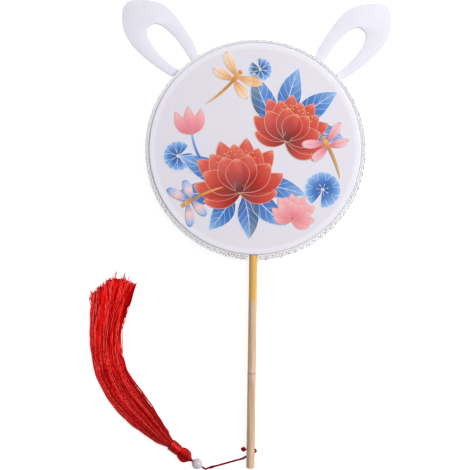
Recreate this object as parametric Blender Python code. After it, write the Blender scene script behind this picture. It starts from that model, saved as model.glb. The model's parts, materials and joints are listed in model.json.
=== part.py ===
"""A round silk hand fan with two loop ears, a lace edge and a beaded tassel, lying face up on a table.

Metres, +Z up. The origin is the centre of the disc on its flat back, the ears are towards +Y, and the
handle is towards -Y.
"""

import math
from collections import namedtuple

import bmesh
import bpy
from mathutils import Matrix, Vector
from mathutils.geometry import interpolate_bezier

MM = 0.001

# Clearances
GAP = 0.3 * MM  # between two pieces that touch on the real fan
OVERRUN = 2.0 * MM  # how far a cutter runs past what it cuts
MERGE_WITHIN = GAP / 100
SHARP_ANGLE = math.radians(35)

# Hoop and silks
FAN_DIAMETER = 200.0 * MM
SILK_THICKNESS = 0.4 * MM
SILK_HEM = 3.6 * MM  # how far each silk is turned down over the hoop's outer side
HOOP_WIDTH = 5.5 * MM
HOOP_DEPTH = 10.2 * MM
HOOP_CORNER = 0.8 * MM

# Handle
HANDLE_DIAMETER = 8.0 * MM
HANDLE_EXPOSED = 201.8 * MM  # from the disc's edge to the sawn end
HANDLE_CHAMFER = 0.5 * MM
NODE_FROM_END = 89.6 * MM  # the bamboo's growth ring
NODE_LENGTH = 5.0 * MM
NODE_SWELLING = 0.25 * MM
HOLE_FROM_END = 17.5 * MM

# Lace
LACE_THICKNESS = 0.7 * MM
LACE_HEIGHT = 5.0 * MM
LACE_LOOPS = 76
LOOP_REACH = 3.0 * MM
LOOP_THREAD = 0.9 * MM
LOOP_PLY = 1.0 * MM  # a loop's own thickness
LOOP_ROUNDNESS = 0.6  # 1 is a sine's arch, and a smaller value is squarer
LACE_BREAK = 1.2 * MM  # open space each side of the handle

# Ears
EAR_LENGTH = 82.5 * MM
EAR_SHEET = 1.8 * MM
EAR_SEAT = 3.6 * MM  # how far the root reaches into the hoop
EAR_TAB = 2.6 * MM  # the strip of sheet that joins the two legs inside the hoop

# The ear's outline and its opening, from the leg on the disc's side, over the top and back, as shares
# of the ear's length: along the ear, then across it towards the fan's own centre line.
EAR_OUTLINE_SHARES = (
    (0.057, 0.226),
    (0.197, 0.263),
    (0.422, 0.268),
    (0.647, 0.253),
    (0.797, 0.205),
    (0.922, 0.095),
    (1.023, -0.061),
    (1.029, -0.155),
    (0.967, -0.237),
    (0.807, -0.326),
    (0.602, -0.347),
    (0.337, -0.287),
    (0.112, -0.197),
    (0.022, -0.144),
)
EAR_OPENING_SHARES = (
    (0.122, 0.128),
    (0.347, 0.124),
    (0.537, 0.085),
    (0.637, 0.030),
    (0.662, -0.035),
    (0.637, -0.100),
    (0.577, -0.140),
    (0.467, -0.150),
    (0.357, -0.145),
    (0.157, -0.097),
    (0.075, -0.055),
)

# Each ear's side, and the angles from +Y to its root and to its own length: they sit a little unevenly.
Ear = namedtuple("Ear", "name side angle tilt")
EARS = (
    Ear("left", -1, math.radians(42.3), math.radians(33.8)),
    Ear("right", 1, math.radians(44.0), math.radians(32.1)),
)

# Cord and what is on it
CORD_DIAMETER = 1.5 * MM
CORD_BEND = 1.1 * MM  # radius of its turn out of the hole
CORD_REACH = 49.2 * MM  # from the swing's axis to the tassel's, along -X
CORD_END_ANGLES = (20, 45, 72)  # places on the round end at the swing's axis
SWING_FROM_END = 6.7 * MM  # where the free cord leaves the handle's left side
WRAP_SIDE_DROP = 2.5 * MM  # how far the held cord comes down the handle's side
WRAP_UNDER_DROP = 4.0 * MM  # and then on its way under the handle
STOPPER_RADIUS = 2.35 * MM
STOPPER_LENGTH = 4.8 * MM
KNOT_RADIUS = 1.6 * MM
KNOT_LENGTH = 5.6 * MM
KNOT_END_SHARE = 0.06  # how far round its dome a knot is cut square at each end
KNOT_GROOVE_SHARE = 0.14  # how deep the grooves between its turns are
BEAD_DIAMETER = 10.4 * MM
BEAD_SLIDE = 3.0 * MM

# The knot's and the tassel's places from the swing's axis, along -X and along -Y, as shares of the reach.
KNOT_PLACE_SHARES = (0.587, 0.163)
TASSEL_PLACE_SHARES = (1.0, 0.0)

# How soon the cord bends away from the swing's axis, and from the knot up to the bead.
LEVEL_EASE_SHARE = 1 / 3
RISE_EASE_SHARE = 1 / 2.4

# Tassel
NECK_RADIUS = 1.6 * MM
NECK_END_ANGLES = (8, 35, 62)  # places on the neck's round end
BULB_RADIUS = 6.3 * MM
BULB_LENGTH = 13.4 * MM
BULB_MIDDLE_SHARE = 0.57  # the place of its widest ring along it
BULB_HALF_SHARE = 0.60  # half the length of the whole ellipse that it is part of
BULB_START_SHARE = 0.03
CORE_RADIUS = 3.6 * MM
BINDING_LENGTH = 10.6 * MM
BINDING_THICKNESS = 1.7 * MM
BINDING_GROOVE = 0.25 * MM
BINDING_TURNS = 7
BINDING_TAPER_SHARE = 0.22  # how much thinner it is at the bulb
SKIRT_LENGTH = 179.0 * MM
SKIRT_WIDTH = 29.5 * MM
SKIRT_DEPTH = 13.0 * MM
SKIRT_SLANT = 18.0 * MM  # how much shorter the threads are on the outer side of the bend
SKIRT_INNER_SLANT = 7.0 * MM  # and at the very edge of its inner side
SKIRT_RAGGED = 2.6 * MM
SKIRT_RAGGED_PHASE = 2.4  # how far apart neighbouring ridges are in their raggedness, as an angle
SKIRT_GROOVE = 0.7 * MM
SKIRT_HOLLOW = 3.9 * MM  # how far the end's middle lies back from its rim
SKIRT_HOLLOW_SHARE = 0.6
SKIRT_END_SHARE = 0.8  # where the threads begin to end
TASSEL_HEADING = math.radians(142.0)  # the tassel's own axis, from +X towards +Y
BEAD_TURN = math.radians(6.5)  # how much further round the cord points in the bead
SKIRT_HEADING = math.radians(135.0)  # the threads' own heading a little way out of the binding
SKIRT_LEAD_SHARE = 0.08  # where they have come round to it
SKIRT_TURN = math.radians(51.5)  # how far they bend round towards the disc
SKIRT_BEND_SHARES = (0.19, 0.81)  # where that bend begins and ends

# The skirt's half width and half depth along its length, as shares of half its width and half its depth.
SKIRT_SHARES = (
    (0.00, 0.435, 0.90),
    (0.07, 0.620, 1.00),
    (0.14, 0.770, 0.96),
    (0.22, 0.920, 0.90),
    (0.31, 0.985, 0.86),
    (0.45, 1.000, 0.82),
    (0.60, 0.985, 0.78),
    (0.72, 1.030, 0.72),
    (0.82, 1.160, 0.64),
    (0.91, 1.330, 0.55),
    (1.00, 1.460, 0.46),
)

# Facets
ROUND_STEPS = 64
ROD_STEPS = 24
BALL_STEPS = 20
CURVE_STEPS = 12
CORNER_STEPS = 2
BEND_STEPS = 4
WRAP_STEPS = 6
ARCH_STEPS = 3
EAR_STEPS = 44
TAB_STEPS = 6
BULB_STATIONS = 8
SKIRT_STATIONS = 27
SKIRT_RIDGES = 20

# Sizes that follow
fan_radius = FAN_DIAMETER / 2
hoop_outer = fan_radius - SILK_THICKNESS - GAP
hoop_inner = hoop_outer - HOOP_WIDTH
hoop_back = SILK_THICKNESS + GAP
hoop_front = hoop_back + HOOP_DEPTH
fan_depth = hoop_front + GAP + SILK_THICKNESS
middle = fan_depth / 2
handle_radius = HANDLE_DIAMETER / 2
handle_end = -(fan_radius + HANDLE_EXPOSED)
hole_place = handle_end + HOLE_FROM_END
cord_radius = CORD_DIAMETER / 2
bore_radius = cord_radius + GAP
bead_radius = BEAD_DIAMETER / 2


def level(angle):
    """The direction along the table at an angle from +X."""
    return Vector((math.cos(angle), math.sin(angle), 0))


def from_swing(shares, height):
    """A place at these shares of the cord's reach from the swing's axis."""
    return Vector((swing_place.x - CORD_REACH * shares[0], swing_place.y - CORD_REACH * shares[1], height))


# Places that follow
swing_place = Vector(
    (-2 * handle_radius + GAP, handle_end + SWING_FROM_END, middle - handle_radius - GAP - cord_radius)
)
tassel_place = from_swing(TASSEL_PLACE_SHARES, bead_radius)
knot_place = from_swing(KNOT_PLACE_SHARES, KNOT_RADIUS)
tassel_heading = level(TASSEL_HEADING)
bead_heading = level(TASSEL_HEADING + BEAD_TURN)
bead_place = tassel_place - bead_heading * (bead_radius + NECK_RADIUS + GAP * 2)


def eased(share):
    """Goes smoothly from 0 to 1 as the share does, and stays there outside."""
    held = min(max(share, 0.0), 1.0)
    return held * held * (3 - 2 * held)


def material(name, colour, roughness, metallic=0.0):
    made = bpy.data.materials.new(name)
    made.use_nodes = True
    shader = made.node_tree.nodes["Principled BSDF"]
    shader.inputs["Base Color"].default_value = (*colour, 1.0)
    shader.inputs["Roughness"].default_value = roughness
    shader.inputs["Metallic"].default_value = metallic
    return made


def placed(name, shape, finish, frame=None):
    """An object from a bmesh whose normals are first turned outwards."""
    bmesh.ops.recalc_face_normals(shape, faces=shape.faces)
    mesh = bpy.data.meshes.new(name)
    shape.to_mesh(mesh)
    shape.free()
    obj = bpy.data.objects.new(name, mesh)
    bpy.context.scene.collection.objects.link(obj)
    if finish is not None:
        mesh.materials.append(finish)
    mesh.shade_smooth()
    mesh.set_sharp_from_angle(angle=SHARP_ANGLE)
    if frame is not None:
        obj.matrix_world = frame
    return obj


def as_cutter(obj):
    obj.hide_render = True
    obj.display_type = "WIRE"
    return obj


def cut(obj, cutters):
    for cutter in cutters:
        modifier = obj.modifiers.new("cut_" + cutter.name, "BOOLEAN")
        modifier.operation = "DIFFERENCE"
        modifier.solver = "EXACT"
        modifier.object = cutter


def along(place, direction):
    """The frame at a place whose Z runs along a direction."""
    turned_to = Vector(direction).to_track_quat("Z", "Y")
    return Matrix.Translation(place) @ turned_to.to_matrix().to_4x4()


def turned(name, profile, finish, frame=None, steps=ROUND_STEPS, closed=True):
    """Spins a profile of (radius, height) points about Z. An open one starts and ends on the axis."""
    shape = bmesh.new()
    verts = [shape.verts.new((radius, 0, height)) for radius, height in profile]
    edges = [shape.edges.new(pair) for pair in zip(verts, verts[1:])]
    if closed:
        edges.append(shape.edges.new((verts[-1], verts[0])))
    bmesh.ops.spin(
        shape,
        geom=verts + edges,
        cent=(0, 0, 0),
        axis=(0, 0, 1),
        angle=math.tau,
        steps=steps,
        use_merge=True,
    )
    bmesh.ops.remove_doubles(shape, verts=shape.verts, dist=MERGE_WITHIN)
    return placed(name, shape, finish, frame)


def arc(centre, radius, start, end, steps):
    """Points of a circle in a (radius, height) profile, with its angles in degrees."""
    points = []
    for step in range(steps + 1):
        angle = math.radians(start + (end - start) * step / steps)
        points.append((centre[0] + radius * math.cos(angle), centre[1] + radius * math.sin(angle)))
    return points


def skinned(name, rings, finish):
    """Closed rings of equal count, joined in order, with a face across each end."""
    shape = bmesh.new()
    rows = [[shape.verts.new(point) for point in ring] for ring in rings]
    for near, far in zip(rows, rows[1:]):
        for i in range(len(near)):
            j = (i + 1) % len(near)
            shape.faces.new((near[i], near[j], far[j], far[i]))
    for row in (rows[0], rows[-1]):
        centre = shape.verts.new(sum((vert.co for vert in row), Vector()) / len(row))
        for i in range(len(row)):
            shape.faces.new((row[i], row[(i + 1) % len(row)], centre))
    return placed(name, shape, finish)


def spaced(points, count):
    """count points, evenly spaced along a line of points."""
    lengths = [0.0]
    for start, end in zip(points, points[1:]):
        lengths.append(lengths[-1] + (end - start).length)
    found = []
    leg = 0
    for step in range(count):
        target = lengths[-1] * step / (count - 1)
        while leg < len(points) - 2 and lengths[leg + 1] < target:
            leg += 1
        share = (target - lengths[leg]) / (lengths[leg + 1] - lengths[leg])
        found.append(points[leg].lerp(points[leg + 1], min(share, 1.0)))
    return found


def smooth_curve(knots, count):
    """count points, evenly spaced along a smooth curve through the knots."""
    padded = [2 * knots[0] - knots[1], *knots, 2 * knots[-1] - knots[-2]]
    dense = []
    for before, start, end, after in zip(padded, padded[1:], padded[2:], padded[3:]):
        leaving = start + (end - before) / 6
        arriving = end - (after - start) / 6
        dense += interpolate_bezier(start, leaving, arriving, end, CURVE_STEPS)[:-1]
    dense.append(knots[-1])
    return spaced([Vector(point) for point in dense], count)


def share_at(table, place, column):
    """The value of a table of shares at a place along it, eased between its rows."""
    for row, following in zip(table, table[1:]):
        if place <= following[0]:
            step = eased((place - row[0]) / (following[0] - row[0]))
            return row[column] + (following[column] - row[column]) * step
    return table[-1][column]


def tube(name, points, finish, end_shares=()):
    """A cord along the points. end_shares are the radii of its first points, as shares, for a round end."""
    curve = bpy.data.curves.new(name, "CURVE")
    curve.dimensions = "3D"
    curve.bevel_depth = cord_radius
    curve.bevel_resolution = 2
    curve.use_fill_caps = True
    spline = curve.splines.new("POLY")
    spline.points.add(len(points) - 1)
    for point, place in zip(spline.points, points):
        point.co = (*place, 1.0)
    for point, share in zip(spline.points, end_shares):
        point.radius = share
    curve.materials.append(finish)
    obj = bpy.data.objects.new(name, curve)
    bpy.context.scene.collection.objects.link(obj)
    return obj


def parented(pivot_name, place, children):
    """An empty on a joint's axis that carries what moves there."""
    pivot = bpy.data.objects.new(pivot_name, None)
    pivot.empty_display_size = BEAD_DIAMETER
    pivot.location = place
    bpy.context.scene.collection.objects.link(pivot)
    bpy.context.view_layer.update()
    for child in children:
        child.parent = pivot
        child.matrix_parent_inverse = pivot.matrix_world.inverted()


def make_handle_cutter():
    """The round hole that the handle takes through the hoop and both silks' hems."""
    radius = handle_radius + GAP
    low = hoop_inner - OVERRUN
    high = fan_radius + OVERRUN
    profile = [(0, low), (radius, low), (radius, high), (0, high)]
    frame = along((0, 0, middle), (0, -1, 0))
    return as_cutter(turned("handle_cutter", profile, None, frame, ROD_STEPS, closed=False))


def make_hoop(cutters, finish):
    corner = HOOP_CORNER
    low, high = hoop_back + corner, hoop_front - corner
    inner, outer = hoop_inner + corner, hoop_outer - corner
    profile = arc((outer, low), corner, -90, 0, CORNER_STEPS)
    profile += arc((outer, high), corner, 0, 90, CORNER_STEPS)
    profile += arc((inner, high), corner, 90, 180, 1)
    profile += arc((inner, low), corner, 180, 270, 1)
    hoop = turned("hoop", profile, finish)
    cut(hoop, cutters)


def silk_profile():
    """Half of the back silk's section: the flat, the turn over the hoop's corner and the hem."""
    bend = HOOP_CORNER + GAP + SILK_THICKNESS
    turn = fan_radius - bend
    outside = [(0, 0), *arc((turn, bend), bend, -90, 0, CORNER_STEPS + 1), (fan_radius, SILK_HEM)]
    inside = [(fan_radius - SILK_THICKNESS, SILK_HEM)]
    inside += arc((turn, bend), bend - SILK_THICKNESS, 0, -90, CORNER_STEPS)
    inside.append((0, SILK_THICKNESS))
    return outside + inside


def make_silks(handle_cutter, ear_cutters, finish):
    back = turned("back_silk", silk_profile(), finish, closed=False)
    cut(back, [handle_cutter, *ear_cutters])
    front_profile = [(radius, fan_depth - height) for radius, height in silk_profile()]
    front = turned("front_silk", front_profile, finish, closed=False)
    cut(front, [handle_cutter])


def make_lace(finish):
    """A band round the hoop's side with a row of open loops standing out from its middle."""
    inner = fan_radius + GAP
    outer = inner + LACE_THICKNESS
    low, high = middle - LACE_HEIGHT / 2, middle + LACE_HEIGHT / 2
    loop_low, loop_high = middle - LOOP_PLY / 2, middle + LOOP_PLY / 2
    half_break = math.asin((handle_radius + LACE_BREAK) / fan_radius)
    start = -math.pi / 2 + half_break
    pitch = (math.tau - 2 * half_break) / LACE_LOOPS
    foot = LOOP_THREAD / outer
    shape = bmesh.new()

    def vert(radius, angle, height):
        return shape.verts.new((radius * math.cos(angle), radius * math.sin(angle), height))

    def post(angle):
        """The band's cross-section at one side of a loop: four corners and the loop's two levels."""
        levels = (low, loop_low, loop_high, high)
        return [vert(outer, angle, height) for height in levels]

    def inner_pair(angle):
        return vert(inner, angle, low), vert(inner, angle, high)

    posts = []
    for loop in range(LACE_LOOPS):
        edge = start + loop * pitch
        posts.append((post(edge), post(edge + foot), post(edge + pitch - foot)))
    last = post(start + LACE_LOOPS * pitch)
    inner_pairs = [inner_pair(start + loop * pitch) for loop in range(LACE_LOOPS + 1)]
    for loop in range(LACE_LOOPS):
        left, left_foot, right_foot = posts[loop]
        right = posts[loop + 1][0] if loop + 1 < LACE_LOOPS else last
        row = (left, left_foot, right_foot, right)
        in_low, in_high = inner_pairs[loop]
        next_low, next_high = inner_pairs[loop + 1]
        shape.faces.new((in_low, next_low, next_high, in_high))
        shape.faces.new((in_high, next_high, right[3], right_foot[3], left_foot[3], left[3]))
        shape.faces.new((next_low, in_low, left[0], left_foot[0], right_foot[0], right[0]))
        for a, b in zip(row, row[1:]):
            shape.faces.new((a[0], b[0], b[1], a[1]))
            shape.faces.new((a[2], b[2], b[3], a[3]))
        shape.faces.new((left_foot[1], right_foot[1], right_foot[2], left_foot[2]))
        add_arch(shape, vert, row, outer, start + loop * pitch, pitch, foot)
    for column, pair in ((posts[0][0], inner_pairs[0]), (last, inner_pairs[-1])):
        shape.faces.new((pair[0], column[0], column[1], column[2], column[3], pair[1]))
    placed("lace_trim", shape, finish)


def add_arch(shape, vert, row, outer, edge, pitch, foot):
    """One open loop of lace, from its left foot to its right one."""
    left, left_foot, right_foot, right = row
    heights = (left[1].co.z, left[2].co.z)
    outer_line = [(left[1], left[2])]
    inner_line = [(left_foot[1], left_foot[2])]
    for step in range(1, ARCH_STEPS + 1):
        share = step / (ARCH_STEPS + 1)
        rise = math.sin(math.pi * share) ** LOOP_ROUNDNESS
        out_angle = edge + pitch * share
        in_angle = edge + foot + (pitch - 2 * foot) * share
        out_radius = outer + LOOP_REACH * rise
        in_radius = outer + (LOOP_REACH - LOOP_THREAD) * rise
        outer_line.append([vert(out_radius, out_angle, height) for height in heights])
        inner_line.append([vert(in_radius, in_angle, height) for height in heights])
    outer_line.append((right[1], right[2]))
    inner_line.append((right_foot[1], right_foot[2]))
    pairs = list(zip(outer_line, inner_line))
    for (out_a, in_a), (out_b, in_b) in zip(pairs, pairs[1:]):
        shape.faces.new((in_a[1], in_b[1], out_b[1], out_a[1]))
        shape.faces.new((in_b[0], in_a[0], out_a[0], out_b[0]))
        shape.faces.new((out_a[0], out_a[1], out_b[1], out_b[0]))
        shape.faces.new((in_b[0], in_b[1], in_a[1], in_a[0]))


def ear_line(shares, ear):
    """The shares of an ear's outline as points in the fan's plane."""
    root = fan_radius * Vector((ear.side * math.sin(ear.angle), math.cos(ear.angle)))
    lengthwise = Vector((ear.side * math.sin(ear.tilt), math.cos(ear.tilt)))
    across = Vector((-ear.side * math.cos(ear.tilt), math.sin(ear.tilt)))
    return [root + EAR_LENGTH * (u * lengthwise + v * across) for u, v in shares]


def ear_loop(shares, ear, root_radius):
    """A closed outline: the ear's own line, then an arc round the fan's centre back to its start."""
    line = smooth_curve(ear_line(shares, ear), EAR_STEPS)
    first = line[0].normalized() * root_radius
    last = line[-1].normalized() * root_radius
    start = math.atan2(last.y, last.x)
    end = math.atan2(first.y, first.x)
    root = []
    for step in range(TAB_STEPS + 1):
        angle = start + (end - start) * step / TAB_STEPS
        root.append(root_radius * Vector((math.cos(angle), math.sin(angle))))
    return line + root


def outset(outline, distance):
    """The closed outline moved outwards, away from its own middle side, by a distance."""
    count = len(outline)
    area = sum(outline[i - 1].cross(outline[i]) for i in range(count))
    sign = 1 if area > 0 else -1
    moved = []
    for i in range(count):
        run = (outline[(i + 1) % count] - outline[i - 1]).normalized()
        moved.append(outline[i] + distance * sign * Vector((run.y, -run.x)))
    return moved


def ear_solid(name, ear, finish, low, high, clearance=0.0):
    """One sheet loop between two heights, grown all round by the clearance."""
    root = hoop_outer - EAR_SEAT
    outside = outset(ear_loop(EAR_OUTLINE_SHARES, ear, root), clearance)
    opening = outset(ear_loop(EAR_OPENING_SHARES, ear, root + EAR_TAB), -clearance)
    shape = bmesh.new()
    rows = []
    for outline, height in ((outside, low), (outside, high), (opening, high), (opening, low)):
        rows.append([shape.verts.new((point.x, point.y, height)) for point in outline])
    rows.append(rows[0])
    for near, far in zip(rows, rows[1:]):
        for i in range(len(near)):
            j = (i + 1) % len(near)
            shape.faces.new((near[i], near[j], far[j], far[i]))
    return placed(name, shape, finish)


def make_handle(finish):
    """A bamboo stick with one growth ring, sawn square, and its cord hole."""
    top = hoop_inner - GAP
    ring = handle_end + NODE_FROM_END
    half = NODE_LENGTH / 2
    radius = handle_radius
    profile = [
        (0, handle_end),
        (radius - HANDLE_CHAMFER, handle_end),
        (radius, handle_end + HANDLE_CHAMFER),
        (radius, ring - half),
        (radius + NODE_SWELLING, ring - half / 3),
        (radius - NODE_SWELLING / 2, ring),
        (radius + NODE_SWELLING, ring + half / 3),
        (radius, ring + half),
        (radius, top - HANDLE_CHAMFER),
        (radius - HANDLE_CHAMFER, top),
        (0, top),
    ]
    handle = turned("handle", profile, finish, along((0, 0, middle), (0, 1, 0)), ROD_STEPS, closed=False)
    reach = handle_radius + OVERRUN
    hole = [(0, -reach), (bore_radius, -reach), (bore_radius, reach), (0, reach)]
    frame = along((0, hole_place, middle), (1, 0, 0))
    cut(handle, [as_cutter(turned("hole_cutter", hole, None, frame, BALL_STEPS, closed=False))])


def wrap_route():
    """The held cord: through the hole, round the handle's right side and out to the left beneath it."""
    reach = handle_radius + GAP + cord_radius
    turn_from = reach - CORD_BEND
    start = Vector((-handle_radius + GAP, hole_place, middle))
    route = [start, Vector((turn_from / 2, hole_place, middle)), Vector((turn_from, hole_place, middle))]
    for step in range(1, BEND_STEPS + 1):
        share = step / BEND_STEPS
        angle = math.pi / 2 * (1 - share)
        x = turn_from + CORD_BEND * math.cos(angle)
        z = middle - CORD_BEND + CORD_BEND * math.sin(angle)
        route.append(Vector((x, hole_place - WRAP_SIDE_DROP * share * share, z)))
    begin = math.asin(-CORD_BEND / reach)
    lead = route[-1].y
    for step in range(1, WRAP_STEPS + 1):
        share = step / WRAP_STEPS
        angle = begin + (-math.pi / 2 - begin) * share
        y = lead - WRAP_UNDER_DROP * share
        route.append(Vector((reach * math.cos(angle), y, middle + reach * math.sin(angle))))
    end = swing_place + (route[-1] - swing_place).normalized() * (cord_radius + GAP)
    end.z = route[-1].z
    route.append(route[-1].lerp(end, 0.5))
    route.append(end)
    return route


def knot_heading():
    """The way that the cord runs along the table to the small knot and through it."""
    return Vector((knot_place.x - swing_place.x, knot_place.y - swing_place.y, 0)).normalized()


def cord_route():
    """The free cord: along the table to the small knot, up to the bead's bore and straight through it."""
    heading = knot_heading()
    into_knot = knot_place - heading * (KNOT_LENGTH / 2 + GAP)
    out_of_knot = knot_place + heading * (KNOT_LENGTH / 2 + GAP)
    straight_from = bead_place - bead_heading * (bead_radius + BEAD_SLIDE + GAP)
    straight_to = tassel_place - bead_heading * (NECK_RADIUS + GAP)
    out = heading * (into_knot - swing_place).length * LEVEL_EASE_SHARE
    rise = (straight_from - out_of_knot).length * RISE_EASE_SHARE
    leaving = out_of_knot + heading * rise
    arriving = straight_from - bead_heading * rise
    first = interpolate_bezier(swing_place, swing_place + out, into_knot - out, into_knot, CURVE_STEPS)
    second = interpolate_bezier(out_of_knot, leaving, arriving, straight_from, CURVE_STEPS)
    end = [straight_from.lerp(straight_to, step / BEND_STEPS) for step in range(1, BEND_STEPS + 1)]
    tip = [swing_place - heading * cord_radius * math.cos(math.radians(a)) for a in CORD_END_ANGLES]
    return tip + [Vector(point) for point in (*first, *second)] + end


def lumped(radius, length, bore, lumps):
    """The closed profile of a knot: rounded turns side by side, with a bore if the cord goes through."""
    steps = lumps * BEND_STEPS
    outside = []
    for step in range(steps + 1):
        share = step / steps
        dome = math.sin(math.pi * (KNOT_END_SHARE + (1 - 2 * KNOT_END_SHARE) * share)) ** 0.5
        turn = 1 - KNOT_GROOVE_SHARE * (1 - abs(math.sin(math.pi * lumps * share)))
        outside.append((bore + (radius - bore) * dome * turn, length * (share - 0.5)))
    if bore:
        return [(bore, -length / 2), *outside, (bore, length / 2)]
    return [(0, -length / 2), *outside, (0, length / 2)]


def make_knots(finish):
    centre = -(handle_radius + GAP + STOPPER_LENGTH / 2)
    frame = along((centre, hole_place, middle), (1, 0, 0))
    profile = lumped(STOPPER_RADIUS, STOPPER_LENGTH, 0, 2)
    turned("stopper_knot", profile, finish, frame, BALL_STEPS, closed=False)
    profile = lumped(KNOT_RADIUS, KNOT_LENGTH, bore_radius, 3)
    return turned("cord_knot", profile, finish, along(knot_place, knot_heading()), BALL_STEPS)


def make_bead(finish):
    half_bore = math.degrees(math.asin(bore_radius / bead_radius))
    profile = arc((0, 0), bead_radius, -90 + half_bore, 90 - half_bore, CURVE_STEPS)
    return turned("bead", profile, finish, along(bead_place, bead_heading), ROD_STEPS)


def head_centre(distance):
    """The head's middle this far along it: at the bead's height, and further on at its own radius."""
    centre = tassel_place + tassel_heading * distance
    centre.z = bead_radius + (BULB_RADIUS - bead_radius) * eased(distance / (BULB_LENGTH / 2))
    return centre


def head_ring(distance, radius):
    centre = head_centre(distance)
    across = Vector((-tassel_heading.y, tassel_heading.x, 0))
    points = []
    for step in range(ROD_STEPS):
        angle = math.tau * step / ROD_STEPS
        points.append(centre + radius * (across * math.cos(angle) + Vector((0, 0, math.sin(angle)))))
    return points


def make_tassel_head(finish):
    """A round neck on the swing's axis, the bulb of thread, and the core that the binding goes round."""
    stations = []
    for angle in NECK_END_ANGLES:
        turn = math.radians(angle)
        stations.append((-NECK_RADIUS * math.cos(turn), NECK_RADIUS * math.sin(turn)))
    stations.append((0.0, NECK_RADIUS))
    for step in range(BULB_STATIONS + 1):
        share = BULB_START_SHARE + (1 - BULB_START_SHARE) * step / BULB_STATIONS
        fullness = math.sqrt(1 - ((share - BULB_MIDDLE_SHARE) / BULB_HALF_SHARE) ** 2)
        stations.append((BULB_LENGTH * share, BULB_RADIUS * fullness))
    stations.append((BULB_LENGTH, CORE_RADIUS))
    stations.append((BULB_LENGTH + GAP * 2 + BINDING_LENGTH, CORE_RADIUS))
    return skinned("tassel_head", [head_ring(*station) for station in stations], finish)


def make_binding(finish):
    """The wound band: a sleeve round the head's core, fuller towards the threads, with shallow turns."""
    inner = CORE_RADIUS + GAP
    outside = []
    for step in range(BINDING_TURNS * 2 + 1):
        share = step / (BINDING_TURNS * 2)
        groove = BINDING_GROOVE if step % 2 == 0 else 0
        fuller = BINDING_THICKNESS * (1 - BINDING_TAPER_SHARE * (1 - share))
        outside.append((inner + fuller - groove, BINDING_LENGTH * share))
    profile = [(inner, 0), *outside, (inner, BINDING_LENGTH)]
    frame = along(head_centre(BULB_LENGTH + GAP), tassel_heading)
    return turned("tassel_binding", profile, finish, frame, ROD_STEPS)


def skirt_line():
    """The skirt's middle line on the table, as (place, heading, share of the length) at even steps."""
    place = head_centre(BULB_LENGTH + BINDING_LENGTH + GAP * 3)
    place.z = 0
    bend_from, bend_to = SKIRT_BEND_SHARES
    line = []
    for station in range(SKIRT_STATIONS + 1):
        share = station / SKIRT_STATIONS
        turn = (TASSEL_HEADING - SKIRT_HEADING) * eased(share / SKIRT_LEAD_SHARE)
        turn += SKIRT_TURN * eased((share - bend_from) / (bend_to - bend_from))
        heading = level(TASSEL_HEADING - turn)
        line.append((place.copy(), heading, share))
        place += heading * (SKIRT_LENGTH / SKIRT_STATIONS)
    return line


def skirt_ring(place, heading, share, shrink=1.0, retreat=0.0):
    """A lobed section of the threads. Near the end each ridge keeps its own length."""
    half_width = SKIRT_WIDTH / 2 * share_at(SKIRT_SHARES, share, 1)
    half_depth = SKIRT_DEPTH / 2 * share_at(SKIRT_SHARES, share, 2)
    across = Vector((heading.y, -heading.x, 0))
    ending = max(share - SKIRT_END_SHARE, 0.0) / (1 - SKIRT_END_SHARE)
    points = []
    for step in range(SKIRT_RIDGES * 2):
        angle = math.tau * step / (SKIRT_RIDGES * 2)
        groove = SKIRT_GROOVE if step % 2 else 0.0
        side = (half_width - groove) * math.cos(angle) * shrink
        up = (half_depth - groove) * math.sin(angle) * shrink
        slant = SKIRT_SLANT * max(-math.cos(angle), 0.0)
        slant += SKIRT_INNER_SLANT * max(math.cos(angle), 0.0) ** 4
        ragged = SKIRT_RAGGED * math.sin(step * SKIRT_RAGGED_PHASE)
        short = ending * (slant + ragged) + retreat
        points.append(place + across * side + Vector((0, 0, half_depth + up)) - heading * short)
    return points


def make_skirt(finish):
    line = skirt_line()
    rings = [skirt_ring(*station) for station in line]
    rings.append(skirt_ring(*line[-1], shrink=SKIRT_HOLLOW_SHARE, retreat=SKIRT_HOLLOW))
    return skinned("tassel_skirt", rings, finish)


def make_fan():
    white_ring = material("white_ring", (0.86, 0.84, 0.90), 0.55)
    pale_silk = material("pale_silk", (0.78, 0.76, 0.82), 0.45)
    white_lace = material("white_lace", (0.88, 0.87, 0.92), 0.80)
    ear_sheet = material("ear_sheet", (0.86, 0.85, 0.93), 0.70)
    bamboo = material("bamboo", (0.60, 0.38, 0.20), 0.45)
    red_cord = material("red_cord", (0.28, 0.01, 0.01), 0.60)
    pearl = material("pearl", (0.85, 0.84, 0.88), 0.20)
    red_thread = material("red_thread", (0.70, 0.01, 0.01), 0.45)

    handle_cutter = make_handle_cutter()
    ear_low, ear_high = hoop_back, hoop_back + EAR_SHEET
    ear_cutters = []
    for ear in EARS:
        ear_solid("ear_" + ear.name, ear, ear_sheet, ear_low, ear_high)
        cutter_low = SILK_THICKNESS + GAP / 2
        cutter = ear_solid("ear_cutter_" + ear.name, ear, None, cutter_low, ear_high + GAP, GAP)
        ear_cutters.append(as_cutter(cutter))

    make_hoop([handle_cutter, *ear_cutters], white_ring)
    make_silks(handle_cutter, ear_cutters, pale_silk)
    make_lace(white_lace)
    make_handle(bamboo)

    tube("cord_wrap", wrap_route(), red_cord)
    end_shares = [math.sin(math.radians(angle)) for angle in CORD_END_ANGLES]
    free_cord = tube("tassel_cord", cord_route(), red_cord, end_shares)
    knot = make_knots(red_cord)
    bead = make_bead(pearl)
    tassel = [make_tassel_head(red_thread), make_binding(red_thread), make_skirt(red_thread)]
    parented("cord_swing_axis", swing_place, [free_cord, knot, bead])
    parented("tassel_swing_axis", tassel_place, tassel)


for old in list(bpy.data.objects):
    bpy.data.objects.remove(old)
make_fan()
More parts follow.
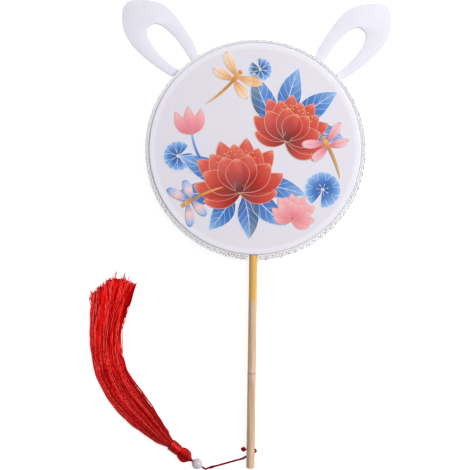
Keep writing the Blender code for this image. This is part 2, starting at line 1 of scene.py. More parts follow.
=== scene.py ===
"""The looks of a round silk hand fan with two loop ears, a lace edge and a beaded tassel.

Metres, +Z up. Every piece is in the frame's own place: the disc's centre is the origin, its back lies
at z = 0, the ears are towards +Y and the handle runs towards -Y.
"""

import json
import math
import random
from collections import namedtuple
from contextlib import contextmanager

import bpy
from mathutils import Matrix, Vector
from mathutils.geometry import interpolate_bezier


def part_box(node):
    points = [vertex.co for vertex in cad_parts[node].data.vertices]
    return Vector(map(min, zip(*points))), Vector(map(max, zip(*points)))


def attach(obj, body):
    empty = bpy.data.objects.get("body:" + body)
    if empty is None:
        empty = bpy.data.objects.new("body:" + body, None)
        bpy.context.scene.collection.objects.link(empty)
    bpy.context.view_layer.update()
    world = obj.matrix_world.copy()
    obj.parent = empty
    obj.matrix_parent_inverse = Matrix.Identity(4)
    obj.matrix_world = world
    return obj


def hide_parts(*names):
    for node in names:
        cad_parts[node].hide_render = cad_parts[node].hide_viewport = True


MM = 0.001
GAP = 0.3 * MM  # the frame's clearance between pieces that touch on the real fan
UP = Vector((0, 0, 1))

# The photograph's view, in its own pixels
PICTURE = 470
PIXEL = 0.939 * MM  # one pixel on the disc's face
DISC_CENTRE = (255.0, 148.5)
ROLL = 0.01376  # how far the handle leans, as a slope
LENS = 50.0
SENSOR = 36.0

# Light
KEY_PLACE = (1.50, 0.75, 2.00)
KEY_AIM = (0, -0.08, 0)
KEY_SIZE = 1.1
KEY_SHARE = 0.64
SKY_SHARE = 0.34
FLOOR_LIFT = 0.72

# Silks, hoop and handle
SILK_SHEET = 0.22 * MM
SILK_HEM = 3.6 * MM
SILK_CORNER = 1.5 * MM
SILK_THREAD = 0.36 * MM
HOOP_WIDTH = 5.5 * MM
HANDLE_RADIUS = 4.0 * MM
GROWTH_RING = 89.6 * MM  # from the handle's sawn end
LACQUER_FROM = 46 * MM  # the lacquer fades in below the disc from here
LACQUER_TO = 37 * MM

# Ears
EAR_LENGTH = 82.5 * MM
EAR_SHEET = 1.8 * MM
EAR_LOW = 0.7 * MM
EAR_ROUNDING = 0.35 * MM
SLOT_ROUNDING = 0.05 * MM
EAR_TAB = 2.6 * MM
EAR_SEAT = 3.6 * MM

# The ear's outline and its opening as shares of its length: along the ear, then across it.
EAR_OUTLINE_SHARES = (
    (0.057, 0.226), (0.197, 0.263), (0.422, 0.268), (0.647, 0.253), (0.797, 0.205),
    (0.922, 0.095), (1.023, -0.061), (1.029, -0.155), (0.967, -0.237), (0.807, -0.326),
    (0.602, -0.347), (0.337, -0.287), (0.112, -0.197), (0.022, -0.144),
)
EAR_OPENING_SHARES = (
    (0.122, 0.128), (0.347, 0.124), (0.537, 0.085), (0.637, 0.030), (0.662, -0.035), (0.637, -0.100),
    (0.577, -0.140), (0.467, -0.150), (0.357, -0.145), (0.157, -0.097), (0.075, -0.055),
)

# Each ear's side, and the angles in degrees from +Y to its root and to its own length.
Ear = namedtuple("Ear", "name side angle tilt")
EARS = (Ear("left", -1, 42.3, 33.8), Ear("right", 1, 44.0, 32.1))

# Lace
LACE_REPEATS = 96
LACE_THREAD = 0.30 * MM
LACE_HEIGHT = 4.4 * MM
LACE_FOOT = 0.7 * MM  # from the silk's edge to the middle of the braid's threads
LACE_REACH = 5.3 * MM
LACE_BREAK = 0.6 * MM  # from the handle to the lace's ends
LACE_TUCK = 2.6 * MM  # how much closer to the fan's side the loops lie at its top
LACE_TUCK_DROP = 0.5 * MM
LACE_TUCK_HEADING = math.radians(118)
LACE_DROP = 0.7 * MM  # how far the loops slope down on their way out
LACE_LIFT = 2.5 * MM  # how much higher than the braid's top its loops start
LACE_HOLES = 3.0 * MM  # from one hole of the ground to the next
LACE_HOLE_ROWS = 2.0 * MM
LACE_HOLE_FOOT = 1.3 * MM
LACE_RING_SHARES = (0.02, 0.44, 0.88)  # where threads run round the loops, from the silk to their edge
NET_SHEET = 0.12 * MM
NET_DEPTH = 0.7 * MM  # how far the ground lies under the loops
KNOT_REPEATS = 45
KNOT_RADIUS = 0.45 * MM

# Cord
CORD_DIAMETER = 1.5 * MM
CORD_PLIES = 3
CORD_PLY = 0.64 * MM
CORD_LAY = 4.2 * MM  # one full turn of its plies
CORD_FUZZ = 0.30 * MM  # how far the plies stand out of the cord's measured diameter
CORD_STEP = 0.5 * MM
CORD_BEND = 1.1 * MM
KNOT_LENGTH = 5.6 * MM
KNOT_TURNS = 3.4
KNOT_CORD = 0.55 * MM
BEAD_SLIDE = 3.0 * MM
BEAD_BORE = 0.95 * MM
NECK_RADIUS = 1.6 * MM
HOLE_FROM_END = 17.5 * MM
WRAP_SIDE_DROP = 2.5 * MM
WRAP_UNDER_DROP = 4.0 * MM

# Tassel
TASSEL_HEADING = math.radians(142.0)
BEAD_HEADING = math.radians(148.5)
BULB_RADIUS = 6.3 * MM
BULB_LENGTH = 13.4 * MM
CORE_RADIUS = 3.6 * MM
BINDING_LENGTH = 10.6 * MM
BINDING_THICKNESS = 1.7 * MM
BINDING_TURNS = 21
BINDING_STEPS = 28  # to each turn
BINDING_THREAD = 0.34 * MM
BAND_WIDTH = 2 * (CORE_RADIUS + GAP + BINDING_THICKNESS)
SKIRT_LENGTH = 179.0 * MM
SKIRT_WIDTH = 29.5 * MM
SKIRT_DEPTH = 12.0 * MM
SKIRT_SLANT = 18.0 * MM
SKIRT_TRIM = 2.5 * MM  # how much shorter the threads are cut than the frame's solid
SKIRT_INNER_SLANT = 4.5 * MM
SKIRT_RAGGED = 2.6 * MM
SKIRT_HEADING = math.radians(135.0)
SKIRT_LEAD_SHARE = 0.08
SKIRT_TURN = math.radians(51.5)
SKIRT_BEND_SHARES = (0.19, 0.81)
SKIRT_STATIONS = 54
SKIRT_BUNDLES = 100
BUNDLE_THREADS = 8
BUNDLE_SPREAD = 0.078  # a bundle's own radius, as a share of the skirt's
SKIRT_THREAD = 0.36 * MM
LONG_THREADS_SHARE = 0.007  # the share of threads that were missed by the scissors
STRAND_STEPS = 42
INNER_FLARE_SHARE = 0.12  # how much further the inner threads spread at their ends
UNDER_BAND_SHARE = -0.01  # how far the threads go back under the band, as a share of the skirt
HEAD_THREADS = 76
HEAD_STEPS = 24
HEAD_FULLEST_SHARE = 0.42  # where along the bulb its loops are fullest
HEAD_FULL_REACH_SHARE = 0.26
LOBE_SHARE = 0.10  # how much the fullest loops of the head stand out, as a share of its radius
GROOVE_SHARE = 0.30  # how deep the head's two loops part on top
GROOVE_ANGLE = math.radians(80)
GROOVE_HALF_ANGLE = math.radians(24)

# The skirt's half width and half depth along its length, as shares of half its width and half its depth.
SKIRT_SHARES = (
    (0.00, 0.435, 0.90), (0.07, 0.620, 1.00), (0.14, 0.770, 0.96), (0.22, 0.920, 0.90),
    (0.31, 0.985, 0.86), (0.45, 1.000, 0.82), (0.60, 0.985, 0.78), (0.72, 1.030, 0.72),
    (0.82, 1.160, 0.64), (0.91, 1.330, 0.55), (1.00, 1.460, 0.46),
)

# Each tone of thread: its screen colour in the shade and in the light.
THREAD_TONES = (
    ("darkest", 0x6A0002, 0x980004),
    ("dark", 0xA00004, 0xCC0408),
    ("red", 0xC00206, 0xF60C10),
    ("bright", 0xE2080C, 0xFF2A28),
    ("lightest", 0xF61012, 0xFF5A50),
)

# Embroidery
STITCH = 0.45 * MM  # the width of one satin stitch
PATCH_SHEET = 0.12 * MM
PATCH_STEP = 0.02 * MM  # how much higher each layer of stitches lies
EDGE_THREAD = 0.26 * MM
EDGE_FLATNESS = 0.35
STAMEN_RADIUS = 0.35 * MM
STAMEN_THREAD = 0.38 * MM
STAMEN_LEVEL = 34
BACK_FLATNESS = 0.24
BACK_SHIFT = Vector((3.5 * MM, -2.5 * MM))
STICK_SHADE = (0.96, 0.58, 0.26)  # painted shade and tint of the stick lying behind the stitches


def toward(angle):
    """The level direction at an angle from +X."""
    return Vector((math.cos(angle), math.sin(angle), 0))


def compass(angle):
    """The direction in the fan's plane at an angle in degrees from +Y, turning clockwise."""
    return Vector((math.sin(math.radians(angle)), math.cos(math.radians(angle))))


def between(first, second, angle):
    """The direction at an angle from the first of two square directions towards the second."""
    return first * math.cos(angle) + second * math.sin(angle)


def shares(count):
    """Even steps from 0 to 1."""
    return [step / count for step in range(count + 1)]


def eased(share):
    """Goes smoothly from 0 to 1 as the share does, and stays there outside."""
    held = min(max(share, 0.0), 1.0)
    return held * held * (3 - 2 * held)


def share_at(table, place, column):
    """The value of a table of shares at a place along it, eased between its rows."""
    for row, following in zip(table, table[1:]):
        if place <= following[0]:
            step = eased((place - row[0]) / (following[0] - row[0]))
            return row[column] + (following[column] - row[column]) * step
    return table[-1][column]


def box_middle(node):
    low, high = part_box(node)
    return (low + high) / 2


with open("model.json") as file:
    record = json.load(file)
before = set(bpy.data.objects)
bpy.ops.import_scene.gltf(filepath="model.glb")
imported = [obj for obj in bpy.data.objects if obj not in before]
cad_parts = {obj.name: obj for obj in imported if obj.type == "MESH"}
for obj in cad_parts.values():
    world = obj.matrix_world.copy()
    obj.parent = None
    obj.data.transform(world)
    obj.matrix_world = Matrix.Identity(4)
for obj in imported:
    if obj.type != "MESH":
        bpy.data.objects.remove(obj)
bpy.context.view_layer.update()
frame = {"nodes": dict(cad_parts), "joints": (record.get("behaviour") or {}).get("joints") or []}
joints = {joint["name"]: joint for joint in frame["joints"]}

fan_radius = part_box("front_silk")[1].x
fan_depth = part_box("front_silk")[1].z
middle = fan_depth / 2
hoop_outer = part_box("hoop")[1].x
hoop_inner = hoop_outer - HOOP_WIDTH
handle_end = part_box("handle")[0].y
hole_place = handle_end + HOLE_FROM_END
swing_place = Vector(joints["cord_swing"]["pos_m"])
tassel_place = Vector(joints["tassel_swing"]["pos_m"])
knot_place = box_middle("cord_knot")
bead_radius = tassel_place.z
cord_heading = Vector((*(knot_place - swing_place).xy, 0)).normalized()
bead_heading = toward(BEAD_HEADING)
tassel_heading = toward(TASSEL_HEADING)


# Materials. A colour is a screen colour's hexadecimal number, or a tuple of linear values.


def linear(colour, share=1.0):
    """A screen colour's linear values, as Blender takes them, times a share. A tuple stays as it is."""
    if isinstance(colour, tuple):
        return colour
    channels = [(colour >> shift & 255) / 255 for shift in (16, 8, 0)]
    return tuple(share * (c / 12.92 if c < 0.04045 else ((c + 0.055) / 1.055) ** 2.4) for c in channels)


class Signal:
    """A shader node's output, which takes part in sums as a number does."""

    def __init__(self, paint, socket):
        self.paint = paint
        self.socket = socket

    def __add__(self, other):
        return self.paint.maths("ADD", self, other)

    def __sub__(self, other):
        return self.paint.maths("SUBTRACT", self, other)

    def __rsub__(self, other):
        return self.paint.maths("SUBTRACT", other, self)

    def __mul__(self, other):
        return self.paint.maths("MULTIPLY", self, other)

    def __abs__(self):
        return self.paint.maths("ABSOLUTE", self)

    __radd__ = __add__
    __rmul__ = __mul__


class Paint:
    """One material: its shader, and the nodes that vary it over a surface."""

    def __init__(self, name, colour, roughness, even=()):
        self.material = bpy.data.materials.new(name)
        self.material.use_nodes = True
        self.tree = self.material.node_tree
        self.shader = self.tree.nodes["Principled BSDF"]
        self.vary("Base Color", (*linear(colour), 1.0))
        self.vary("Roughness", roughness)
        for socket, value in dict(even).items():
            self.vary(socket, value)

    def vary(self, socket, value):
        self.feed(self.shader.inputs[socket], value)

    def feed(self, socket, value):
        if isinstance(value, Signal):
            self.tree.links.new(value.socket, socket)
        else:
            socket.default_value = value

    def node(self, kind, settings=(), values=(), output=0):
        """Adds a node, sets it up, feeds its sockets and gives one of its outputs."""
        made = self.tree.nodes.new("ShaderNode" + kind)
        for setting, value in dict(settings).items():
            if setting == "stops":
                self.set_stops(made.color_ramp, value)
            else:
                setattr(made, setting, value)
        for socket, value in dict(values).items():
            self.feed(made.inputs[socket], value)
        return Signal(self, made.outputs[output])

    def set_stops(self, ramp, stops):
        while len(ramp.elements) < len(stops):
            ramp.elements.new(1.0)
        for element, (place, colour) in zip(ramp.elements, stops):
            element.position = place
            element.color = (*linear(colour), 1.0)

    def maths(self, operation, *values):
        return self.node("Math", {"operation": operation}, dict(enumerate(values)))

    def axes(self, vector):
        return [self.node("SeparateXYZ", (), {0: vector}, output=axis) for axis in range(3)]

    def place(self):
        """The object's own coordinates."""
        return self.node("TexCoord", output=3)

    def plan(self):
        """A spot's place in the fan's plane."""
        return self.axes(self.place())[:2]

    def uv(self):
        return self.axes(self.node("UVMap"))[:2]

    def length(self, x, y):
        return self.maths("SQRT", x * x + y * y)

    def noise(self, size, stretch=(1, 1, 1), detail=3.0, vector=None):
        """Cloudy variation of about that size, from 0 to 1, drawn out along an axis by the stretch."""
        scale = [1 / (size * along) for along in stretch]
        at = self.node("Mapping", (), {0: vector or self.place(), "Scale": scale})
        return self.node("TexNoise", (), {"Vector": at, "Scale": 1.0, "Detail": detail})

    def crossed(self, size, stretch, detail=3.0):
        """Noise drawn out both ways, as crossing fibres are."""
        ways = (stretch, 1, 1), (1, stretch, 1)
        first, second = (self.noise(size, way, detail) for way in ways)
        return first * 0.5 + second * 0.5

    def ripple(self, signal, period):
        """A wave between 0 and 1."""
        return self.maths("SINE", signal * (math.tau / period)) * 0.5 + 0.5

    def twist(self, turns):
        """The strands of a thread, wound round it this often from its start to its end."""
        along, around = self.uv()
        return self.ripple(along * turns + around, 1.0)

    def step(self, signal, low, high):
        """0 below low, 1 above high and smooth between them."""
        limits = {"Value": signal, "From Min": low, "From Max": high}
        return self.node("MapRange", {"interpolation_type": "SMOOTHSTEP"}, limits)

    def mix(self, factor, first, second, blend="MIX"):
        """Two colours mixed."""
        colours = [c if isinstance(c, Signal) else (*linear(c), 1.0) for c in (first, second)]
        settings = {"data_type": "RGBA", "blend_type": blend}
        return self.node("Mix", settings, {0: factor, 6: colours[0], 7: colours[1]}, output=2)

    def ramp(self, factor, *stops):
        """Colours at places from 0 to 1 of the factor."""
        return self.node("ValToRGB", {"stops": stops}, {0: factor})

    def colour_by(self, factor, first, second, blend="MIX"):
        """Colours the surface by a mix of two colours."""
        self.vary("Base Color", self.mix(factor, first, second, blend))

    def mottle(self, size, first, second, detail=3.0):
        """Colours the surface in clouds of two colours, and gives the clouds."""
        cloud = self.noise(size, detail=detail)
        self.colour_by(cloud, first, second)
        return cloud

    def raise_by(self, height, depth, strength=1.0):
        """Bumps the surface by a height between 0 and 1, at a real depth."""
        values = {"Height": height, "Distance": depth, "Strength": strength}
        self.vary("Normal", self.node("Bump", (), values))


# Modelling steps


def only(obj):
    """Selects one object alone and makes it the active one."""
    bpy.ops.object.select_all(action="DESELECT")
    obj.select_set(True)
    bpy.context.view_layer.objects.active = obj


def added(name):
    """The primitive that was just added, under its name."""
    obj = bpy.context.object
    obj.name = name
    obj.data.name = name
    return obj


@contextmanager
def editing(obj):
    """Edit mode on one object, with all of it selected at first."""
    only(obj)
    bpy.ops.object.mode_set(mode="EDIT")
    bpy.ops.mesh.select_mode(type="EDGE")
    bpy.ops.mesh.select_all(action="SELECT")
    yield
    bpy.ops.object.mode_set(mode="OBJECT")


def pick(obj, kind, test):
    """In edit mode, selects the edges or faces whose middle passes the test."""
    bpy.ops.mesh.select_mode(type=kind)
    bpy.ops.mesh.select_all(action="DESELECT")
    bpy.ops.object.mode_set(mode="OBJECT")
    mesh = obj.data
    if kind == "FACE":
        for face in mesh.polygons:
            face.select = test(face.center)
    else:
        for edge in mesh.edges:
            start, end = (mesh.vertices[index].co for index in edge.vertices)
            edge.select = test((start + end) / 2)
    bpy.ops.object.mode_set(mode="EDIT")


def extrude(height):
    bpy.ops.mesh.extrude_region_move(TRANSFORM_OT_translate={"value": (0, 0, height)})


def modified(obj, kind, **settings):
    """Adds a modifier and applies it."""
    modifier = obj.modifiers.new(kind.lower(), kind)
    for setting, value in settings.items():
        setattr(modifier, setting, value)
    only(obj)
    bpy.ops.object.modifier_apply(modifier=modifier.name)


def settled(obj):
    """Moves an object's place into its mesh."""
    only(obj)
    bpy.ops.object.transform_apply(location=True, rotation=True, scale=True)
    return obj


def mended(obj):
    """Merges the points that meet and turns the faces outwards."""
    with editing(obj):
        bpy.ops.mesh.remove_doubles(threshold=0.002 * MM)
        bpy.ops.mesh.normals_make_consistent(inside=False)
    return obj


def joined(name, objects):
    bpy.ops.object.select_all(action="DESELECT")
    for obj in objects:
        obj.select_set(True)
    bpy.context.view_layer.objects.active = objects[0]
    bpy.ops.object.join()
    return added(name)


def cut_by(obj, cutter):
    modified(obj, "BOOLEAN", operation="DIFFERENCE", solver="EXACT", object=cutter)
    bpy.data.objects.remove(cutter)


def dressed(obj, paint, body, slot, *replaced):
    """Finishes a piece: its place in its mesh, its shading, its material and what it rides on."""
    settled(obj)
    bpy.ops.object.shade_smooth_by_angle(angle=math.radians(40))
    if paint is not None:
        obj.data.materials.clear()
        obj.data.materials.append(paint.material)
    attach(obj, body)
    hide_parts(*replaced)
    return obj


def add_line(curve, line, closed):
    """Adds one run of points to a curve."""
    spline = curve.splines.new("POLY")
    spline.points.add(len(line) - 1)
    spline.use_cyclic_u = closed
    for point, place in zip(spline.points, line):
        point.co = (*place, 1.0)
    return spline


def meshed(name, curve, height=0.0):
    """A curve turned into a mesh at a height."""
    obj = bpy.data.objects.new(name, curve)
    obj.location.z = height
    bpy.context.scene.collection.objects.link(obj)
    only(obj)
    bpy.ops.object.convert(target="MESH")
    return mended(settled(added(name)))


def threads(name, lines, radius, sides=6, closed=False, paints=(), tones=None):
    """Round threads along lists of points, as one mesh. tones numbers each thread's paint."""
    curve = bpy.data.curves.new(name, "CURVE")
    curve.dimensions = "3D"
    curve.bevel_depth = radius
    curve.bevel_resolution = (sides - 4) // 2
    curve.use_fill_caps = not closed
    for paint in paints:
        curve.materials.append(paint.material)
    for line, tone in zip(lines, tones or [0] * len(lines)):
        add_line(curve, line, closed).material_index = tone
    return meshed(name, curve)


def bend(start, leaving, arriving, end):
    """Points on the curve that leaves its start along one vector and arrives along another."""
    return [Vector(point) for point in interpolate_bezier(start, start + leaving, end - arriving, end, 12)]


def spaced(points, distance):
    """Points at even steps of about a distance along a line of points."""
    lengths = [0.0]
    for start, end in zip(points, points[1:]):
        lengths.append(lengths[-1] + (end - start).length)
    found = []
    leg = 0
    for share in shares(max(2, round(lengths[-1] / distance))):
        target = lengths[-1] * share
        while leg < len(points) - 2 and lengths[leg + 1] < target:
            leg += 1
        along = (target - lengths[leg]) / (lengths[leg + 1] - lengths[leg])
        found.append(points[leg].lerp(points[leg + 1], min(along, 1.0)))
    return found


def smooth_curve(knots, distance):
    """Evenly spaced points on a smooth curve through the knots."""
    padded = [2 * knots[0] - knots[1], *knots, 2 * knots[-1] - knots[-2]]
    dense = []
    for before, start, end, after in zip(padded, padded[1:], padded[2:], padded[3:]):
        dense += bend(start, (end - before) / 6, (after - start) / 6, end)[:-1]
    return spaced([*dense, knots[-1]], distance)


def twisted(path):
    """The lines of a cord's plies, wound round the path."""
    offset = CORD_DIAMETER / 2 + CORD_FUZZ - CORD_PLY
    normal = (path[1] - path[0]).orthogonal().normalized()
    lines = [[] for _ in range(CORD_PLIES)]
    travelled = 0.0
    for index, place in enumerate(path):
        run = (path[min(index + 1, len(path) - 1)] - path[max(index - 1, 0)]).normalized()
        normal = (normal - run * normal.dot(run)).normalized()
        if index:
            travelled += (place - path[index - 1]).length
        for number, line in enumerate(lines):
            angle = math.tau * (travelled / CORD_LAY + number / CORD_PLIES)
            line.append(place + offset * between(normal, run.cross(normal), angle))
    return lines


# Camera and light


def make_camera():
    """Straight above the fan, with the fan's lean in the picture."""
    right = (PICTURE / 2 - DISC_CENTRE[0]) * PIXEL
    up = (DISC_CENTRE[1] - PICTURE / 2) * PIXEL
    distance = PICTURE * PIXEL * LENS / SENSOR
    place = Vector((right - ROLL * up, up + ROLL * right, fan_depth + distance))
    bpy.ops.object.camera_add(location=place, rotation=(0, 0, math.atan(ROLL)))
    camera = added("camera")
    camera.data.lens = LENS
    camera.data.sensor_width = SENSOR
    camera.data.clip_start = 0.01
    bpy.context.scene.camera = camera
    bpy.context.scene.view_settings.view_transform = "Standard"


def make_key_light():
    """A large soft lamp to the upper right."""
    place = Vector(KEY_PLACE)
    away = Vector(KEY_AIM) - place
    bpy.ops.object.light_add(type="AREA", location=place)
    lamp = added("key_light")
    lamp.rotation_euler = away.to_track_quat("-Z", "Y").to_euler()
    lamp.data.shape = "DISK"
    lamp.data.size = KEY_SIZE
    lamp.data.energy = KEY_SHARE * math.pi**2 * away.length**3 / place.z


def make_sky():
    """An even white sky, dimmer for the pieces than for the camera."""
    world = bpy.data.worlds.new("studio")
    bpy.context.scene.world = world
    world.use_nodes = True
    nodes, links = world.node_tree.nodes, world.node_tree.links
    path = nodes.new("ShaderNodeLightPath")
    level = nodes.new("ShaderNodeMapRange")
    level.inputs["To Min"].default_value = SKY_SHARE
    level.inputs["To Max"].default_value = 1.0
    links.new(path.outputs["Is Camera Ray"], level.inputs["Value"])
    background = nodes["Background"]
    background.inputs["Color"].default_value = (1, 1, 1, 1)
    links.new(level.outputs[0], background.inputs["Strength"])


def make_floor():
    """White paper that the camera sees as white, with the fan's own soft shadow."""
    paint = Paint("white_paper", (0.84, 0.84, 0.85), 0.8, {"Emission Strength": FLOOR_LIFT})
    rays = [paint.node("LightPath", output=f"Is {ray} Ray") for ray in ("Camera", "Glossy", "Transmission")]
    seen = paint.maths("MINIMUM", rays[0] + rays[1] + rays[2], 1.0)
    paint.vary("Emission Color", paint.mix(seen, (0.0, 0.0, 0.0), (1.0, 1.0, 1.0)))
    bpy.ops.mesh.primitive_plane_add(size=8.0, location=(0, 0, -0.25 * MM))
    floor = added("floor")
    floor.data.materials.append(paint.material)
    settled(floor)


# Finishes


def silk_paint(name, opacity):
    """Sheer woven silk, denser where it is glued over the hoop, with painted shade in a grey line along its
    turned edge.

    The painted shade fades towards the upper right, the side that faces the lamp.
    """
    paint = Paint(name, 0xF3EFF9, 0.5, {"Sheen Weight": 0.1, "Sheen Roughness": 0.4})
    x, y = paint.plan()
    radius = paint.length(x, y)
    slub = paint.crossed(1.6 * MM, 6)
    weave = paint.ripple(x, SILK_THREAD) * paint.ripple(y, SILK_THREAD)
    glued = paint.step(radius, hoop_inner - 1.5 * MM, hoop_inner + 2.2 * MM)
    painted_edge_shade = paint.step(radius, fan_radius - 1.3 * MM, fan_radius - 0.7 * MM)
    towards_lamp = x * (0.87 / fan_radius) + y * (0.50 / fan_radius)
    paint.vary("Alpha", opacity + glued * (0.97 - opacity) - weave * 0.05 + (slub - 0.5) * 0.10)
    cloudy = paint.mix(paint.noise(45 * MM, detail=2.0), linear(0xF3EFF9, 0.97), 0xF3EFF9)
    # The grey along the edge is painted shade, fainter on the side towards the lamp.
    paint.colour_by(painted_edge_shade * (0.19 - towards_lamp * 0.13), paint.mix(glued, cloudy, 0xF1EEF8), 0x9F9AA6)
    paint.raise_by(weave * 0.6 + slub * 0.4, 0.06 * MM, 0.5)
    return paint


def hoop_paint():
    paint = Paint("ring_white", 0xF1EEF5, 0.45)
    paint.mottle(12 * MM, 0xEDE9F2, 0xF6F3F9)
    paint.raise_by(paint.noise(0.8 * MM), 0.03 * MM)
    return paint


def lace_paint():
    paint = Paint("lace_cotton", 0xF0EDF3, 0.75, {"Sheen Weight": 0.15})
    fibre = paint.mottle(0.5 * MM, 0xF2F0F5, 0xFFFFFF, 4.0)
    paint.raise_by(paint.twist(500) * 0.5 + fibre * 0.5, 0.04 * MM, 0.5)
    return paint


def handle_side_share(paint):
    """1 beside the handle and 0 further round."""
    x, y = paint.plan()
    return 1 - paint.step(paint.length(x, y + fan_radius), 8 * MM, 50 * MM)


def net_paint():
    """The lace's worked ground: pale, with small holes painted dark as shade, browner beside the handle."""
    paint = Paint("lace_net", 0xD9D5DD, 0.8)
    x, y = paint.plan()
    along = paint.maths("ARCTAN2", y, x) * fan_radius
    out = paint.length(x, y) - fan_radius
    rows = paint.ripple(out - LACE_HOLE_FOOT, LACE_HOLE_ROWS)
    holes = paint.ripple(along + out * 0.75, LACE_HOLES) * rows
    near_handle = handle_side_share(paint)
    # The holes' grey is painted shade, turning dark brown beside the handle.
    dark = paint.mix(near_handle, 0xB4AFB8, 0x3E241C)
    pale = paint.mix(near_handle * 0.25, 0xFDFCFE, 0xEADAD2)
    paint.colour_by(paint.step(holes, 0.42, 0.72) * (0.55 + paint.noise(5 * MM) * 0.8), pale, dark)
    paint.raise_by(holes, 0.15 * MM)
    return paint


def knot_paint():
    paint = Paint("lace_knot_thread", 0xC6C1C9, 0.8)
    # The knots' grey is painted shade, for the dark dots along the lace's edge; beside the handle they turn
    # brown.
    knot_grey_shade = paint.mix(paint.noise(9 * MM), 0xB6B1BA, 0xF0EDF2)
    paint.colour_by(handle_side_share(paint) * 0.85, knot_grey_shade, 0x46302A)
    paint.raise_by(paint.noise(0.3 * MM), 0.05 * MM)
    return paint


def ear_paint():
    """Smooth pressed felt: short fibres and a faint mottle."""
    paint = Paint("ear_felt", 0xEBE9F5, 0.85, {"Sheen Weight": 0.25})
    fibre = paint.crossed(0.35 * MM, 2, 5.0)
    paint.colour_by(paint.noise(9 * MM) * 0.6 + fibre * 0.4, 0xE3E1EF, 0xF3F1FA)
    paint.vary("Roughness", fibre * 0.15 + 0.78)
    paint.raise_by(fibre, 0.05 * MM, 0.6)
    return paint


def bamboo_paint():
    """Split bamboo: long fibres, a growth ring in a paler stretch, lacquer at the top, a porous sawn end."""
    paint = Paint("bamboo_stick", 0xCBAB85, 0.42)
    y = paint.plan()[1]
    grain = paint.noise(0.35 * MM, (1, 60, 1), 4.0) * 0.55 + paint.noise(1.3 * MM, (1, 40, 1), 2.0) * 0.45
    natural = paint.ramp(grain, (0.28, 0xA27B58), (0.50, 0xD9B897), (0.74, 0xF0DCC6))
    gold = paint.ramp(grain, (0.28, 0xBE8628), (0.50, 0xE6B158), (0.74, 0xF7D490))
    edge = paint.noise(6 * MM) * (6 * MM) + y
    lacquer = paint.step(edge, -(fan_radius + LACQUER_FROM), -(fan_radius + LACQUER_TO))
    from_ring = abs(y - (handle_end + GROWTH_RING))
    ring_line = 1 - paint.step(from_ring, 0.2 * MM, 1.6 * MM)
    paler = 1 - paint.step(from_ring, 3 * MM, 9 * MM)
    colour = paint.mix(paler * 0.4, paint.mix(lacquer, natural, gold), 0xDCC6B2)
    colour = paint.mix(ring_line * paint.noise(2.5 * MM) * 0.62, colour, 0x7A5636)
    sawn = 1 - paint.step(y, handle_end + 0.1 * MM, handle_end + 0.7 * MM)
    pores = paint.step(paint.noise(0.5 * MM, (1, 30, 1), 2.0), 0.52, 0.66)
    paint.colour_by(sawn, colour, paint.mix(pores, 0xDDC29A, 0x8A6540))
    paint.vary("Roughness", 0.52 - lacquer * 0.22 + grain * 0.1)
    paint.raise_by(grain, 0.10 * MM, 0.5)
    return paint


def cord_paint():
    paint = Paint("cord_dark_red", 0x88041A, 0.7, {"Specular IOR Level": 0.05})
    fibre = paint.mottle(0.25 * MM, 0x66000E, 0xAC0420, 4.0)
    paint.raise_by(paint.twist(70) * 0.6 + fibre * 0.4, 0.06 * MM)
    return paint


def thread_paint(name, low, high):
    """Silky tassel thread in one tone, with painted shade near its root and the fine twist of its strands.
    """
    paint = Paint(name, high, 0.34, {"Specular IOR Level": 0.16})
    along = paint.uv()[0]
    glints = paint.noise(0.9 * MM, (1, 3, 1), 2.0)
    tone = paint.mix(paint.step(glints, 0.40, 0.60), linear(low, 0.8), high)
    # A little lighter towards the tip, then painted shade near the root.
    tone = paint.mix(paint.step(along, 0.5, 0.95) * 0.7, tone, linear(high, 1.06))
    paint.colour_by(paint.step(along, 0.0, 0.55) * 0.64 + 0.36, linear(low, 0.5), tone)
    paint.vary("Roughness", glints * 0.12 + 0.28)
    paint.raise_by(paint.twist(130), 0.05 * MM, 0.5)
    return paint


def band_paint():
    """The band's satin thread: a painted highlight as a bright line along one side of the neck, and painted
    shade, deep red, along the other.
    """
    paint = Paint("thread_satin", 0xA8040A, 0.36, {"Specular IOR Level": 0.16})
    x, y = paint.plan()
    aside = (y - tassel_place.y) * tassel_heading.x - (x - tassel_place.x) * tassel_heading.y
    across = aside * (1 / BAND_WIDTH) + 0.5 + (paint.noise(1.2 * MM) - 0.5) * 0.3
    # A painted highlight and painted shade, set by the side of the neck.
    painted_highlight_and_shade = (0.10, 0x9C0610), (0.27, 0xF2342C), (0.38, 0xBC0A0E), (0.75, 0x92040C)
    paint.vary("Base Color", paint.ramp(across, *painted_highlight_and_shade))
    paint.raise_by(paint.twist(130), 0.05 * MM, 0.5)
    return paint


def pearl_paint():
    paint = Paint("pearl_grey", 0xCBC3C9, 0.2, {"Coat Weight": 0.3, "Coat Roughness": 0.15})
    cloud = paint.mottle(4 * MM, 0xBDB3BB, 0xDAD4DA, 2.0)
    paint.vary("Roughness", cloud * 0.1 + 0.16)
    return paint


def fine_thread_paint(name, colour, roughness):
    """One even colour with the grain of a fine thread."""
    paint = Paint(name, colour, roughness)
    paint.raise_by(paint.noise(0.3 * MM), 0.05 * MM)
    return paint


